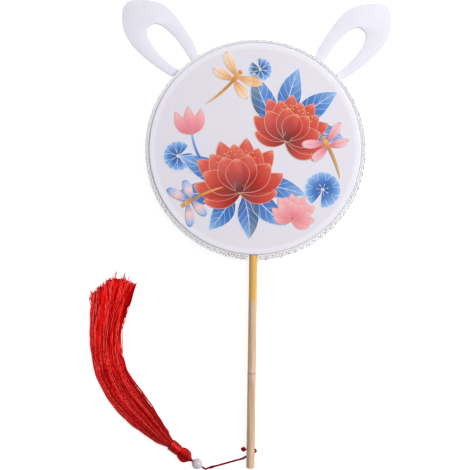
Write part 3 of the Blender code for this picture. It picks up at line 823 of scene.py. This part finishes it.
def stitch_paint(name, stops, width, veins=0, vein_colour=None, vein_slant=0.0):
    """Satin stitch on a patch's own map: the colour runs from its root to its tip, with side veins."""
    paint = Paint(name, stops[-1][1], 0.45, {"Sheen Weight": 0.06, "Sheen Roughness": 0.35})
    u, v = paint.uv()
    uneven = paint.noise(1.0, (0.04, 0.5, 1), 2.0, paint.node("UVMap"))
    tone = paint.mix(uneven * 0.4 + u * 0.6, (0.86, 0.86, 0.86), (1.0, 1.0, 1.0))
    colour = paint.mix(1.0, paint.ramp(v + (uneven - 0.5) * 0.22, *stops), tone, "MULTIPLY")
    if veins:
        side = abs(u - 0.5)
        rib = paint.step(paint.ripple(v * veins - side * vein_slant, 1.0), 0.965, 0.998)
        spine = 1 - paint.step(side, 0.012, 0.03)
        colour = paint.mix(paint.maths("MAXIMUM", rib * 0.55, spine * 0.8), colour, vein_colour)
    # Painted shade and tint where the stick lies behind the stitches.
    stick_shade_mask = 1 - paint.step(abs(paint.plan()[0]), HANDLE_RADIUS - 0.8 * MM, HANDLE_RADIUS + 0.6 * MM)
    paint.colour_by(stick_shade_mask * 0.6, colour, STICK_SHADE, "MULTIPLY")
    paint.raise_by(paint.ripple(u, STITCH / width) * 0.7 + uneven * 0.3, 0.12 * MM, 0.6)
    return paint


# Silks


def make_silk(name, paint, front, cutters, replaced):
    """A stretched circle of silk, turned down over the hoop's outer side."""
    bpy.ops.mesh.primitive_circle_add(
        vertices=192, radius=fan_radius, fill_type="NGON", location=(0, 0, fan_depth - SILK_HEM)
    )
    silk = settled(added(name))
    top = fan_depth - 0.1 * MM
    with editing(silk):
        extrude(SILK_HEM)
        pick(silk, "FACE", lambda at: at.z < fan_depth - 0.9 * SILK_HEM)
        bpy.ops.mesh.delete(type="ONLY_FACE")
        pick(silk, "EDGE", lambda at: at.z > top and at.xy.length > fan_radius * 0.9)
        bpy.ops.mesh.bevel(offset=SILK_CORNER, segments=5, profile=0.5)
        pick(silk, "FACE", lambda at: at.z > top and at.xy.length < fan_radius * 0.5)
        bpy.ops.mesh.inset(thickness=2 * MM)
        for _ in range(5):
            bpy.ops.mesh.inset(thickness=fan_radius / 6.5)
        bpy.ops.mesh.select_all(action="SELECT")
        bpy.ops.mesh.normals_make_consistent(inside=False)
    modified(silk, "SOLIDIFY", thickness=SILK_SHEET, offset=-1.0)
    if not front:
        silk.rotation_euler = (0, math.pi, 0)
        silk.location = (0, 0, fan_depth)
        settled(silk)
    for cutter in cutters:
        cut_by(silk, cutter)
    return dressed(silk, paint, "fan", "pale_silk", replaced)


def handle_cutter():
    """The round way for the handle through a silk's hem."""
    bpy.ops.mesh.primitive_cylinder_add(
        vertices=48,
        radius=HANDLE_RADIUS + GAP,
        depth=4 * SILK_CORNER + 2 * HOOP_WIDTH,
        location=(0, -fan_radius, middle),
        rotation=(math.pi / 2, 0, 0),
    )
    return settled(added("handle_cutter"))


# Ears


def ear_loop(outline, ear, root_radius):
    """A closed outline: the ear's own line, then an arc inside the hoop from its end to its start."""
    root = fan_radius * compass(ear.side * ear.angle)
    along, across = compass(ear.side * ear.tilt), compass(ear.side * (ear.tilt - 90))
    line = smooth_curve([root + EAR_LENGTH * (u * along + v * across) for u, v in outline], 1.6 * MM)
    start, end = (math.atan2(spot.y, spot.x) for spot in (line[-1], line[0]))
    arc = [root_radius * toward(start + (end - start) * share) for share in shares(10)]
    return [spot.to_3d() for spot in line] + arc


def make_ear(name, ear, spread=0.0, thickness=EAR_SHEET, rounding=EAR_ROUNDING):
    """A flat sheet loop with soft edges. spread grows it all round, for the slot that it passes through."""
    root = hoop_outer - EAR_SEAT
    curve = bpy.data.curves.new(name, "CURVE")
    curve.dimensions = "2D"
    curve.fill_mode = "BOTH"
    curve.extrude = thickness / 2 - rounding
    curve.bevel_depth = rounding
    curve.bevel_resolution = 2
    curve.offset = spread - rounding
    for outline, root_radius in ((EAR_OUTLINE_SHARES, root), (EAR_OPENING_SHARES, root + EAR_TAB)):
        add_line(curve, ear_loop(outline, ear, root_radius), True)
    return meshed(name, curve, EAR_LOW + EAR_SHEET / 2)


# Lace


def on_rim(angle, reach, height):
    """A point this far out from the silk's edge."""
    return (fan_radius + reach) * toward(angle) + UP * height


def lace_point(angle, out):
    """A point on the sloping lace, out from 0 at the silk to 1 at its loops' edge."""
    tucked = 0.5 + 0.5 * math.cos(angle - LACE_TUCK_HEADING)
    reach = LACE_FOOT + (LACE_REACH - LACE_TUCK * tucked - LACE_FOOT) * out
    drop = (LACE_DROP + LACE_TUCK_DROP * tucked) * out
    return on_rim(angle, reach, middle + LACE_HEIGHT / 2 + LACE_LIFT - drop)


def make_lace(paint):
    """A narrow crocheted braid on the silks' turned edges, with open loops that slope outwards."""
    half_break = (HANDLE_RADIUS + LACE_BREAK) / fan_radius
    turn = math.tau - 2 * half_break

    def angle_at(share):
        return half_break - math.pi / 2 + turn * share

    low, high = middle - LACE_HEIGHT / 2, middle + LACE_HEIGHT / 2
    lines = []
    for height in (low, high):
        lines.append([on_rim(angle_at(share), LACE_FOOT, height) for share in shares(360)])
    for out in LACE_RING_SHARES:
        lines.append([lace_point(angle_at(share), out) for share in shares(360)])
    zigzag = []
    for number, share in enumerate(shares(LACE_REPEATS * 2)):
        zigzag.append(on_rim(angle_at(share), LACE_FOOT, low if number % 2 else high))
    lines.append(zigzag)
    for side in (-1, 1):
        wide = []
        for share in shares(LACE_REPEATS * 10):
            phase = math.pi * LACE_REPEATS * share
            out = 0.06 + 0.94 * (0.5 - 0.5 * side * math.cos(phase))
            wide.append(lace_point(angle_at(share), out) + UP * (side * LACE_THREAD * math.sin(phase) * 0.9))
        lines.append(wide)
    dressed(threads("lace_braid", lines, LACE_THREAD), paint, "fan", "white_lace", "lace_trim")

    knots = []
    for number in range(KNOT_REPEATS):
        knot = []
        for step in range(8):
            spot = KNOT_RADIUS * toward(math.tau * step / 8)
            share = (number + 0.5) / KNOT_REPEATS + spot.y / (fan_radius * turn)
            knot.append(lace_point(angle_at(share), 0.93) + UP * (LACE_THREAD + spot.x))
        knots.append(knot)
    dots = threads("lace_knots", knots, LACE_THREAD * 1.2, closed=True)
    dressed(dots, knot_paint(), "fan", "white_lace")


def make_net():
    """The ground that the loops are worked on: a narrow sloping band, open at the handle."""
    height = lace_point(0, 0).z - NET_DEPTH
    bpy.ops.mesh.primitive_circle_add(vertices=240, radius=fan_radius + NET_SHEET, location=(0, 0, height))
    net = settled(added("lace_ground"))
    with editing(net):
        extrude(-LACE_DROP)
        pick(net, "FACE", lambda at: at.y < 0 and abs(at.x) < HANDLE_RADIUS + 0.5 * MM)
        bpy.ops.mesh.delete(type="FACE")
    for point in net.data.vertices:
        if point.co.z < height - LACE_DROP / 2:
            point.co = lace_point(math.atan2(point.co.y, point.co.x), 0.92) - UP * NET_DEPTH
    modified(net, "SOLIDIFY", thickness=NET_SHEET)
    dressed(mended(net), net_paint(), "fan", "white_lace")


# Cord and what is on it


def cord_route():
    """The free cord's route, as the frame has it: to the small knot, up to the bead and through it."""
    half_knot = cord_heading * (KNOT_LENGTH / 2 + GAP)
    into_knot, out_of_knot = knot_place - half_knot, knot_place + half_knot
    straight_from = box_middle("bead") - bead_heading * (bead_radius + BEAD_SLIDE + GAP)
    straight_to = tassel_place - bead_heading * (NECK_RADIUS - 0.6 * MM)
    out = (into_knot - swing_place).length / 3 * cord_heading
    rise = (straight_from - out_of_knot).length / 2.4
    to_knot = bend(swing_place, out, out, into_knot)
    to_bead = bend(out_of_knot, rise * cord_heading, rise * bead_heading, straight_from)
    return [*to_knot, *to_bead, straight_to]


def make_free_cord(paint):
    route = spaced(cord_route(), CORD_STEP)
    cord = threads("cord_twist", twisted(route), CORD_PLY)
    dressed(cord, paint, "cord", "red_cord", "tassel_cord")
    make_cord_knot(paint)


def make_cord_knot(paint):
    """A barrel knot: the cord wound three times round itself, its ends tucked in."""
    across = UP.cross(cord_heading)
    line = []
    for share in shares(60):
        along = cord_heading * (KNOT_LENGTH * 0.86) * (share - 0.5)
        reach = 0.25 * MM + 0.80 * MM * math.sin(math.pi * share) ** 0.5
        line.append(knot_place + along + reach * between(across, UP, math.tau * KNOT_TURNS * share))
    knot = threads("cord_knot_turns", [line], KNOT_CORD, sides=8)
    return dressed(knot, paint, "cord", "red_cord", "cord_knot")


def make_stopper(paint):
    """An overhand knot pulled firm into a ball of cord against the handle."""
    lean = Matrix.Rotation(math.radians(35), 3, "Y") @ Matrix.Rotation(math.radians(50), 3, "X")
    line = []
    for step in range(96):
        angle = math.tau * step / 96
        reach = 1.20 * MM + 0.58 * MM * math.cos(3 * angle)
        spot = reach * toward(2 * angle) + UP * (1.35 * MM * math.sin(3 * angle))
        line.append(box_middle("stopper_knot") + lean @ spot)
    knot = threads("stopper_turns", [line], CORD_DIAMETER / 2, sides=8, closed=True)
    dressed(knot, paint, "fan", "red_cord", "stopper_knot")


def wrap_route():
    """The held cord, as the frame has it: through the hole, round the right side and out beneath."""
    reach = HANDLE_RADIUS + GAP + CORD_DIAMETER / 2
    turn_from = reach - CORD_BEND
    route = [Vector((x, hole_place, middle)) for x in (GAP - HANDLE_RADIUS, turn_from / 2, turn_from)]
    for share in shares(4)[1:]:
        angle = math.pi / 2 * (1 - share)
        x = turn_from + CORD_BEND * math.cos(angle)
        z = middle - CORD_BEND + CORD_BEND * math.sin(angle)
        route.append(Vector((x, hole_place - WRAP_SIDE_DROP * share * share, z)))
    lead = route[-1].y
    begin = math.asin(-CORD_BEND / reach)
    for share in shares(8)[1:]:
        angle = begin + (-math.pi / 2 - begin) * share
        y = lead - WRAP_UNDER_DROP * share
        route.append(Vector((reach * math.cos(angle), y, middle + reach * math.sin(angle))))
    end = Vector((*swing_place.xy, route[-1].z))
    return [*route, route[-1].lerp(end, 0.5), end]


def make_wrap(paint):
    wrap = threads("cord_round_handle", twisted(spaced(wrap_route(), CORD_STEP)), CORD_PLY)
    dressed(wrap, paint, "fan", "red_cord", "cord_wrap")


def make_bead(paint):
    """A drilled pearl, its bore along the cord."""
    bpy.ops.mesh.primitive_uv_sphere_add(segments=64, ring_count=40, radius=bead_radius)
    bead = added("pearl_bead")
    bpy.ops.mesh.primitive_cylinder_add(vertices=32, radius=BEAD_BORE, depth=4 * bead_radius)
    cut_by(bead, added("bead_bore"))
    bead.rotation_euler = bead_heading.to_track_quat("Z", "Y").to_euler()
    bead.location = box_middle("bead")
    dressed(bead, paint, "bead", "pearl", "bead")


# Tassel


def head_radius(distance):
    """The head's radius this far along its axis: the neck, the bulb and the waist under the binding."""
    if distance < 0:
        return NECK_RADIUS
    if distance > BULB_LENGTH:
        return CORE_RADIUS + GAP
    centre, half = BULB_LENGTH * 0.57, BULB_LENGTH * 0.6
    bulb = BULB_RADIUS * math.sqrt(1 - ((distance - centre) / half) ** 2)
    share = min(distance / (BULB_LENGTH * 0.25), 1.0) ** 0.45
    return NECK_RADIUS + (bulb - NECK_RADIUS) * share


def head_point(distance, radius, angle):
    """A point on the head, whose axis rises from the bead's middle to its own radius."""
    centre = tassel_place + tassel_heading * distance
    centre.z = bead_radius + (BULB_RADIUS - bead_radius) * eased(distance / (BULB_LENGTH / 2))
    full = math.exp(-(((distance / BULB_LENGTH - HEAD_FULLEST_SHARE) / HEAD_FULL_REACH_SHARE) ** 2))
    parted = math.cos((angle - GROOVE_ANGLE) / 2) ** 2
    lobe = 1 + full * (LOBE_SHARE * max(math.cos(angle), 0.0) ** 2 - GROOVE_SHARE * parted**16)
    return centre + radius * lobe * between(UP.cross(tassel_heading), UP, angle)


def make_head(tones):
    """The bulb of thread: strands laid side by side from the neck over a core to the waist."""
    random.seed(11)
    lines, numbers = [], []
    near_end, far_end = -NECK_RADIUS * 0.8, BULB_LENGTH + BINDING_LENGTH * 0.6
    for number in range(HEAD_THREADS):
        phase = math.tau * (number + random.uniform(-0.3, 0.3)) / HEAD_THREADS
        lean = random.uniform(-0.16, 0.16)
        lift = random.uniform(-0.30, 0.12) * MM
        line = []
        for share in shares(HEAD_STEPS):
            distance = near_end + (far_end - near_end) * share
            swell = math.sin(math.pi * share)
            radius = head_radius(distance) - SKIRT_THREAD + lift * swell
            line.append(head_point(distance, radius, phase + lean * swell))
        lines.append(line)
        # Strands in the groove between the head's two loops take the darkest tones, as painted shade.
        if abs(phase - GROOVE_ANGLE) < GROOVE_HALF_ANGLE:
            choices = (0, 0, 1)
        else:
            choices = (0, 1, 2, 2, 4) if phase < GROOVE_ANGLE else (1, 1, 2, 3, 3)
        numbers.append(random.choice(choices))
    strands = threads("head_strands", lines, SKIRT_THREAD * 1.2, paints=tones, tones=numbers)
    core = make_head_core()
    core.data.materials.append(tones[1].material)
    head = joined("tassel_head_threads", [strands, core])
    dressed(head, None, "tassel", "red_thread", "tassel_head")


def make_head_core():
    """The filling under the strands, spun from its profile."""
    bpy.ops.mesh.primitive_circle_add(vertices=40, radius=1.0, fill_type="NOTHING")
    core = added("head_core")
    rings = []
    for share in shares(29):
        distance = -NECK_RADIUS * 0.9 + (BULB_LENGTH + BINDING_LENGTH + NECK_RADIUS) * share
        rings.append((distance, head_radius(distance) - SKIRT_THREAD * 0.9))
    with editing(core):
        for _ in rings[1:]:
            extrude(1)
    for point in core.data.vertices:
        distance, radius = rings[round(point.co.z)]
        point.co = head_point(distance, radius, math.atan2(point.co.y, point.co.x))
    with editing(core):
        bpy.ops.mesh.select_all(action="DESELECT")
        bpy.ops.mesh.select_non_manifold()
        bpy.ops.mesh.edge_face_add()
    return mended(core)


def make_binding(paint):
    """The band: two silky threads wound round and round the waist, one layer over the other."""
    lines = []
    for layer in (0, 1):
        line = []
        for share in shares(BINDING_TURNS * BINDING_STEPS):
            place = 0.02 * layer + (1 - 0.04 * layer) * share
            fuller = BINDING_THICKNESS * (0.72 + 0.22 * place) * (0.55 + 0.45 * layer)
            fuller *= min(1.0, 0.65 + 3 * place, 0.65 + 3 * (1 - place))
            angle = math.tau * BINDING_TURNS * share * (1 - 2 * layer) + 1.1 * layer
            distance = BULB_LENGTH + GAP + BINDING_LENGTH * place
            line.append(head_point(distance, CORE_RADIUS + fuller, angle))
        lines.append(line)
    band = threads("binding_band", lines, BINDING_THREAD)
    dressed(band, paint, "tassel", "red_thread", "tassel_binding")


def skirt_line():
    """The skirt's middle line on the table: (place, heading) at even steps, as the frame has it."""
    place = tassel_place + tassel_heading * (BULB_LENGTH + BINDING_LENGTH + GAP * 3)
    place.z = 0
    bend_from, bend_to = SKIRT_BEND_SHARES
    line = []
    for share in shares(SKIRT_STATIONS):
        angle = TASSEL_HEADING - (TASSEL_HEADING - SKIRT_HEADING) * eased(share / SKIRT_LEAD_SHARE)
        angle -= SKIRT_TURN * eased((share - bend_from) / (bend_to - bend_from))
        line.append((place.copy(), toward(angle)))
        place += toward(angle) * (SKIRT_LENGTH / SKIRT_STATIONS)
    return line


def skirt_point(line, share, across, up):
    """A point among the threads: across and up run from -1 to 1 over the skirt's section."""
    along = min(max(share, 0.0), 1.0) * SKIRT_STATIONS
    index = min(int(along), SKIRT_STATIONS - 1)
    place, heading = line[index]
    beyond = max(share - 1.0, 0.0) + min(share, 0.0)
    place = place.lerp(line[index + 1][0], along - index) + heading * beyond * SKIRT_LENGTH
    heading = heading.lerp(line[index + 1][1], along - index).normalized()
    half_width = SKIRT_WIDTH / 2 * share_at(SKIRT_SHARES, share, 1) - SKIRT_THREAD
    half_depth = SKIRT_DEPTH / 2 * share_at(SKIRT_SHARES, share, 2) - SKIRT_THREAD
    height = max(half_depth * (1 + up) + SKIRT_THREAD, SKIRT_THREAD)
    return place + heading.cross(UP) * half_width * across + UP * height


def drift_waves(slow, fast):
    """Two sine waves of random rate, start and size, for a thread's own wandering."""
    limits = (slow, fast), (0, math.tau), (0.3, 1.0)
    return [[random.uniform(*pair) for pair in limits] for _ in range(2)]


def wander(waves, share, turn=0.0):
    return sum(size * math.sin(math.tau * rate * share + start + turn) for rate, start, size in waves)


def skirt_strand(line, across, up, reach, bundle):
    """One thread of the skirt. It drifts with its bundle, and by itself more and more towards its end."""
    own = drift_waves(0.6, 2.6)
    crinkle = drift_waves(5.0, 8.5)
    points = []
    for step in shares(STRAND_STEPS):
        share = UNDER_BAND_SHARE + (reach - UNDER_BAND_SHARE) * step
        outwards = max(share, 0.0)
        loose = 0.012 + 0.092 * outwards**1.5
        fine = 0.006 + 0.052 * share**2
        gathered = 1 - 0.30 * math.exp(-share * 26)
        side = across + (wander(bundle, share) + wander(own, share)) * loose + wander(crinkle, share) * fine
        side *= 1 + INNER_FLARE_SHARE * outwards**2 * (side > 0)
        side = max(-1.05, min(side, 1.10))
        lift = up + (wander(bundle, share, 1.6) + wander(own, share, 1.6)) * loose
        points.append(skirt_point(line, share, side * gathered, lift * gathered))
    return points


def cut_short(across):
    """How much shorter than the skirt a thread is cut: a slanting, rounded and ragged end."""
    short = SKIRT_TRIM + SKIRT_SLANT * max(-across, 0.0) ** 0.75 + SKIRT_INNER_SLANT * max(across, 0.0) ** 4
    short += random.uniform(-1, 1) * SKIRT_RAGGED
    if random.random() < LONG_THREADS_SHARE:
        short -= random.uniform(4, 8) * MM
    return short


def make_skirt(tones):
    """The threads, in bundles that part a little, as three pieces from the table up."""
    random.seed(5)
    line = skirt_line()
    strands = []
    for number in range(SKIRT_BUNDLES):
        radius = math.sqrt((number + 0.5) / SKIRT_BUNDLES) * 0.95
        angle = number * math.pi * (3 - math.sqrt(5))
        bundle = drift_waves(0.5, 2.0)
        for inside in range(BUNDLE_THREADS):
            around, out = random.uniform(0, math.tau), BUNDLE_SPREAD * math.sqrt(random.random())
            across = radius * math.cos(angle) + out * math.cos(around)
            up = radius * math.sin(angle) + out * math.sin(around)
            reach = 1 - cut_short(across) / SKIRT_LENGTH
            if inside % 3 == 0:
                tone = random.choice((0, 1, 1, 2, 2, 2, 3, 3, 3, 4, 4))
            strands.append((up, skirt_strand(line, across, up, reach, bundle), tone))
    # Three loose threads bow out along the inner side
    for bow in (1.04, 1.07, 1.11):
        loose = []
        for share in shares(26):
            across = 0.93 + (bow - 0.93) * math.sin(math.pi * share) ** 2
            loose.append(skirt_point(line, 0.04 + 0.56 * share, across, -0.2))
        strands.append((1.0, loose, 2))
    strands.sort(key=lambda strand: strand[0])
    third = len(strands) // 3
    layers = ("low", strands[:third]), ("middle", strands[third : 2 * third]), ("top", strands[2 * third :])
    for name, inside in layers:
        _, lines, numbers = zip(*inside)
        layer = threads("tassel_threads_" + name, lines, SKIRT_THREAD, 4, paints=tones, tones=numbers)
        dressed(layer, None, "tassel", "red_thread", "tassel_skirt")


# Embroidery. Places and sizes on the silk are in millimetres, and angles in degrees from +Y.

PAD_SECTORS = 13
PAD_NOTCH = 36
TAIL_BEND = 17.19  # how much a dragonfly's tail turns on its way

Patch = namedtuple("Patch", "root start end length width shape level")

# Where a patch is widest along it, its root's share of that width, and how blunt its tip is.
LOTUS_SHAPE_SHARES = (0.50, 0.34, 0.78)
LEAF_SHAPE_SHARES = (0.44, 0.12, 0.95)
SECTOR_SHAPE_SHARES = (0.90, 0.06, 0.45)
STEM_SHAPE_SHARES = (0.50, 0.80, 0.30)
BROAD_SHAPE_SHARES = (0.52, 0.42, 0.55)
WING_SHAPE_SHARES = (0.64, 0.14, 0.50)
BODY_SHAPE_SHARES = (0.20, 0.70, 0.60)

# A lotus from its back to its front: its petals' angles, their length and width as shares, their curl.
LOTUS_LAYERS = (
    ((-110, 110), 0.76, 0.34, 58),
    ((-84, 84), 0.90, 0.40, 38),
    ((-50, -17, 17, 50), 0.98, 0.43, 12),
    ((-35, 0, 35), 0.86, 0.47, 16),
    ((-62, 62), 0.76, 0.46, 24),
    ((-23, 23), 0.68, 0.47, 12),
    ((0,), 0.58, 0.46, 0),
)

# A leaf's root, angle, length, width, layer and bend
LEAVES = (
    ((34, 16), 96, 50, 23, 2, 20),
    ((20, 22), -24, 54, 22, 3, 20),
    ((28, 26), 14, 52, 22, 4, 20),
    ((36, 22), 52, 52, 22, 5, 20),
    ((-26, -38), -96, 50, 22, 2, 20),
    ((-24, -34), -62, 54, 21, 3, -20),
    ((-20, -44), -146, 40, 20, 4, 20),
    ((-10, -44), 172, 42, 20, 5, 20),
    ((-4, -40), 132, 48, 21, 6, -20),
    ((-4, -34), 100, 54, 20, 7, 20),
)

# The large flowers' root, size and tilt
FLOWERS = (((-14, -38), 49, -8), ((30, 10), 42, 22))

# Thread colours from a patch's root to its tip
DEEP = (0.0, 0x6E0E14), (0.36, 0xC0261E), (0.74, 0xE85440), (1.0, 0xFAA68E)
BLUE = (0.0, 0x1A50A2), (0.4, 0x3A7CCC), (0.8, 0x88BAF2), (1.0, 0xBAD8F8)
PINK = (0.0, 0xF07488), (0.5, 0xFCA6B2), (1.0, 0xFFD4D4)
CREAM = (0.0, 0xF09A50), (0.4, 0xFFD6A6), (0.8, 0xFFF0DA), (1.0, 0xF5A56A)
ROSE = (0.0, 0xEC5E76), (0.35, 0xFCB4BE), (0.8, 0xFFD6DA), (1.0, 0xF28496)
SKY = (0.0, 0x4A80D6), (0.35, 0xFFD0C8), (0.7, 0x9CC2F8), (1.0, 0x4C82D6)
GOLD = (0.0, 0xC8843A), (0.5, 0xEBB05A), (1.0, 0xFAD48C)


def patch_point(patch, u, v):
    """A point of a patch in the fan's plane: u from -1 to 1 across it, v from its root to its tip."""
    count = 8
    turn = (patch.end - patch.start) * v
    place = Vector(patch.root)
    for part in range(count):
        place += patch.length * v / count * compass(patch.start + turn * (part + 0.5) / count)
    widest, foot, blunt = patch.shape
    if v < widest:
        share = foot + (1 - foot) * math.sin(math.pi / 2 * v / widest)
    else:
        share = max(math.cos(math.pi / 2 * (v - widest) / (1 - widest)), 0.0) ** blunt
    return (place + compass(patch.start + turn + 90) * (u * share * patch.width / 2)) * MM


def patch_height(patch):
    return fan_depth + PATCH_STEP * patch.level


def make_patch(patch):
    """One satin-stitched patch: a crowned grid on the silk, with its own map."""
    bpy.ops.mesh.primitive_grid_add(x_subdivisions=6, y_subdivisions=18, size=1)
    obj = added("patch")
    crown = min(patch.width * 0.012, 0.10) * MM
    for point in obj.data.vertices:
        u, v = point.co.x * 2, 1 - (0.5 - point.co.y) ** 1.5
        swell = (1 - u * u) * math.sin(math.pi * min(max(v, 0.04), 0.96)) ** 0.5
        spot = patch_point(patch, u, min(v, 0.998))
        point.co = (*spot, patch_height(patch) + PATCH_SHEET + crown * swell)
    return obj


def make_patches(name, patches, paint):
    obj = joined(name, [make_patch(patch) for patch in patches])
    modified(obj, "SOLIDIFY", thickness=PATCH_SHEET * 1.5, offset=-1.0)
    return dressed(obj, paint, "fan", "pale_silk")


def edge_line(patch):
    """The line of a patch's edge, from its root round its tip and back, before it is pressed flat."""
    height = (patch_height(patch) + PATCH_SHEET - fan_depth) / EDGE_FLATNESS
    line = []
    for side, steps in ((-1, range(17)), (1, range(15, -1, -1))):
        for step in steps:
            line.append((*patch_point(patch, side, min(1 - (1 - step / 16) ** 1.5, 0.995)), height))
    return line


def lotus(root, size, tilt, level):
    """An open lotus seen from its side, as layers of petals from the back to the front."""
    petals = []
    for angles, length, width, curl in LOTUS_LAYERS:
        for angle in angles:
            lean = math.copysign(curl, angle) if angle else 0.0
            start, end = angle + tilt + lean * 0.35, angle + tilt - lean * 0.65
            petals.append(Patch(root, start, end, size * length, size * width, LOTUS_SHAPE_SHARES, level))
            level += 1
    return petals


def leaf(root, angle, length, width, level, bend_angle):
    """A pointed leaf that bends a little on its way."""
    start, end = angle - bend_angle / 2, angle + bend_angle / 2
    return Patch(root, start, end, length, width, LEAF_SHAPE_SHARES, level)


def pad(root, radius, notch):
    """A round lotus leaf in sectors of stitches, with a notch."""
    sectors = []
    for number in range(PAD_SECTORS):
        angle = notch + PAD_NOTCH / 2 + (360 - PAD_NOTCH) * (number + 0.5) / PAD_SECTORS
        sectors.append(Patch(root, angle, angle, radius, radius * 0.47, SECTOR_SHAPE_SHARES, number % 2))
    return sectors


def dragonfly(root, tilt, size, level):
    """(wings, body) of a dragonfly whose head points along the tilt."""
    root, forward = Vector(root), size * compass(tilt)
    wings = []
    for number, (angle, place, length) in enumerate(((74, 0.10, 0.72), (112, -0.02, 0.63))):
        for side in (-1, 1):
            turn = tilt + side * angle, tilt + side * (angle - 18)
            sizes = size * length, size * 0.26
            wings.append(Patch(root + forward * place, *turn, *sizes, WING_SHAPE_SHARES, level + number))
    tail_turn = tilt + 180, tilt + 180 + TAIL_BEND
    body = [
        Patch(root, *tail_turn, size * 1.05, size * 0.08, BODY_SHAPE_SHARES, level + 3),
        Patch(root - forward * 0.12, tilt, tilt, size * 0.34, size * 0.14, BROAD_SHAPE_SHARES, level + 4),
        Patch(root + forward * 0.19, tilt, tilt, size * 0.11, size * 0.14, BROAD_SHAPE_SHARES, level + 5),
    ]
    return wings, body


def stamens(root, size, tilt):
    """French knots in two rows above the front petal, as rings of thread."""
    knots = []
    for number in range(13):
        reach = size * (0.66 + 0.07 * (number % 2))
        spot = (Vector(root) + reach * compass(tilt + 5.5 * (number - 6))) * MM
        centre = Vector((*spot, fan_depth + STAMEN_LEVEL * PATCH_STEP))
        knots.append([centre + STAMEN_RADIUS * toward(math.tau * step / 8) for step in range(8)])
    return knots


def make_embroidery():
    """A lotus pond in silk: lotus flowers, a bud, blue leaves and pads, and three dragonflies."""
    pads = pad((64, -38), 17, 200) + pad((-72, -8), 14, 60) + pad((4, 74), 11, 330)
    leaves = [leaf(*row) for row in LEAVES]
    stems = [
        Patch((-30, -30), -62, -2, 58, 2.4, STEM_SHAPE_SHARES, 8),
        Patch((12, -44), 150, 104, 30, 2.2, STEM_SHAPE_SHARES, 8),
    ]
    reds = [petal for flower in FLOWERS for petal in lotus(*flower, 10)]
    pinks = lotus((36, -65), 24, 14, 9)
    for level, angle in enumerate((-28, 28, 0)):
        pinks.append(leaf((-60, 13), angle - 8, 26, 11, 9 + level, -1.6 * angle))
    cream_wings, cream_body = dragonfly((-20, 65), 40, 35, 9)
    pink_wings, pink_body = dragonfly((68, 4), -30, 32, 27)
    blue_wings, blue_body = dragonfly((-60, -50), -122, 32, 27)

    stitched = (
        ("pads", pads, "silk_blue_pad", BLUE, 8 * MM),
        ("leaves", leaves, "silk_blue", BLUE, 21 * MM, 7, 0xDCE8F8, 3.0),
        ("stems", stems, "silk_stem", BLUE, 2 * MM),
        ("lotus", reds, "silk_deep_red", DEEP, 22 * MM),
        ("buds", pinks, "silk_pink", PINK, 10 * MM),
        ("cream_wings", cream_wings, "silk_cream", CREAM, 9 * MM, 9, 0xD9773A, 1.0),
        ("pink_wings", pink_wings, "silk_rose", ROSE, 9 * MM, 9, 0xD9536A, 1.0),
        ("blue_wings", blue_wings, "silk_sky", SKY, 9 * MM, 9, 0xF4F0F8, 1.0),
        ("bodies", cream_body + pink_body + blue_body, "silk_gold", GOLD, 3 * MM, 9, 0x9A5A20),
    )
    pieces = []
    for name, patches, *finish in stitched:
        pieces.append(make_patches("stitched_" + name, patches, stitch_paint(*finish)))
    edges = (
        ("petal_edges", reds + pinks, 1.0, fine_thread_paint("couched_coral", 0xEFA48C, 0.4)),
        ("leaf_edges", leaves + pads, 0.85, fine_thread_paint("couched_white", 0xE9EFFA, 0.5)),
    )
    for name, patches, fullness, paint in edges:
        outlines = threads(name, [edge_line(patch) for patch in patches], EDGE_THREAD * fullness)
        outlines.scale.z = EDGE_FLATNESS
        outlines.location.z = fan_depth
        pieces.append(dressed(outlines, paint, "fan", "pale_silk"))
    knots = [knot for flower in FLOWERS for knot in stamens(*flower)]
    yellow = fine_thread_paint("knotted_yellow", 0xF2C55C, 0.5)
    dots = threads("stamen_knots", knots, STAMEN_THREAD, closed=True)
    return [*pieces, dressed(dots, yellow, "fan", "pale_silk")]


def put_on_back(piece):
    """The same stitches on the back silk, pressed flatter and a little out of line with the front's."""
    only(piece)
    bpy.ops.object.duplicate()
    back = added("back_" + piece.name.removeprefix("stitched_"))
    back.parent = None
    for point in back.data.vertices:
        point.co = (*(point.co.xy + BACK_SHIFT), (fan_depth - point.co.z) * BACK_FLATNESS)
    back.data.flip_normals()
    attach(back, "fan")
    return back


# The whole fan


def make_disc():
    """The silks and their stitches, the ears, the lace, and the hoop's and handle's materials."""
    silk, back_silk = silk_paint("silk_front", 0.86), silk_paint("silk_back", 0.90)
    front = make_silk("front_silk_sheet", silk, True, [handle_cutter()], "front_silk")
    cutters = [handle_cutter()]
    for ear in EARS:
        cutters.append(make_ear("slot_" + ear.name, ear, GAP, EAR_SHEET + GAP, SLOT_ROUNDING))
    back = make_silk("back_silk_sheet", back_silk, False, cutters, "back_silk")

    felt = ear_paint()
    for ear in EARS:
        loop = dressed(make_ear("ear_felt_" + ear.name, ear), felt, "fan", "ear_sheet", "ear_" + ear.name)
    for node, paint in (("hoop", hoop_paint()), ("handle", bamboo_paint())):
        materials = frame["nodes"][node].data.materials
        materials.clear()
        materials.append(paint.material)
    make_lace(lace_paint())
    make_net()

    stitches = make_embroidery()
    for sheet, on_it in ((front, stitches), (back, [put_on_back(piece) for piece in stitches])):
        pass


def make_tassel():
    """The cord, the bead and the tassel."""
    cord = cord_paint()
    make_free_cord(cord)
    make_wrap(cord)
    make_stopper(cord)
    make_bead(pearl_paint())
    tones = [thread_paint("thread_" + name, low, high) for name, low, high in THREAD_TONES]
    make_head(tones)
    make_binding(band_paint())
    make_skirt(tones)


make_camera()
make_key_light()
make_sky()
make_floor()
make_disc()
make_tassel()
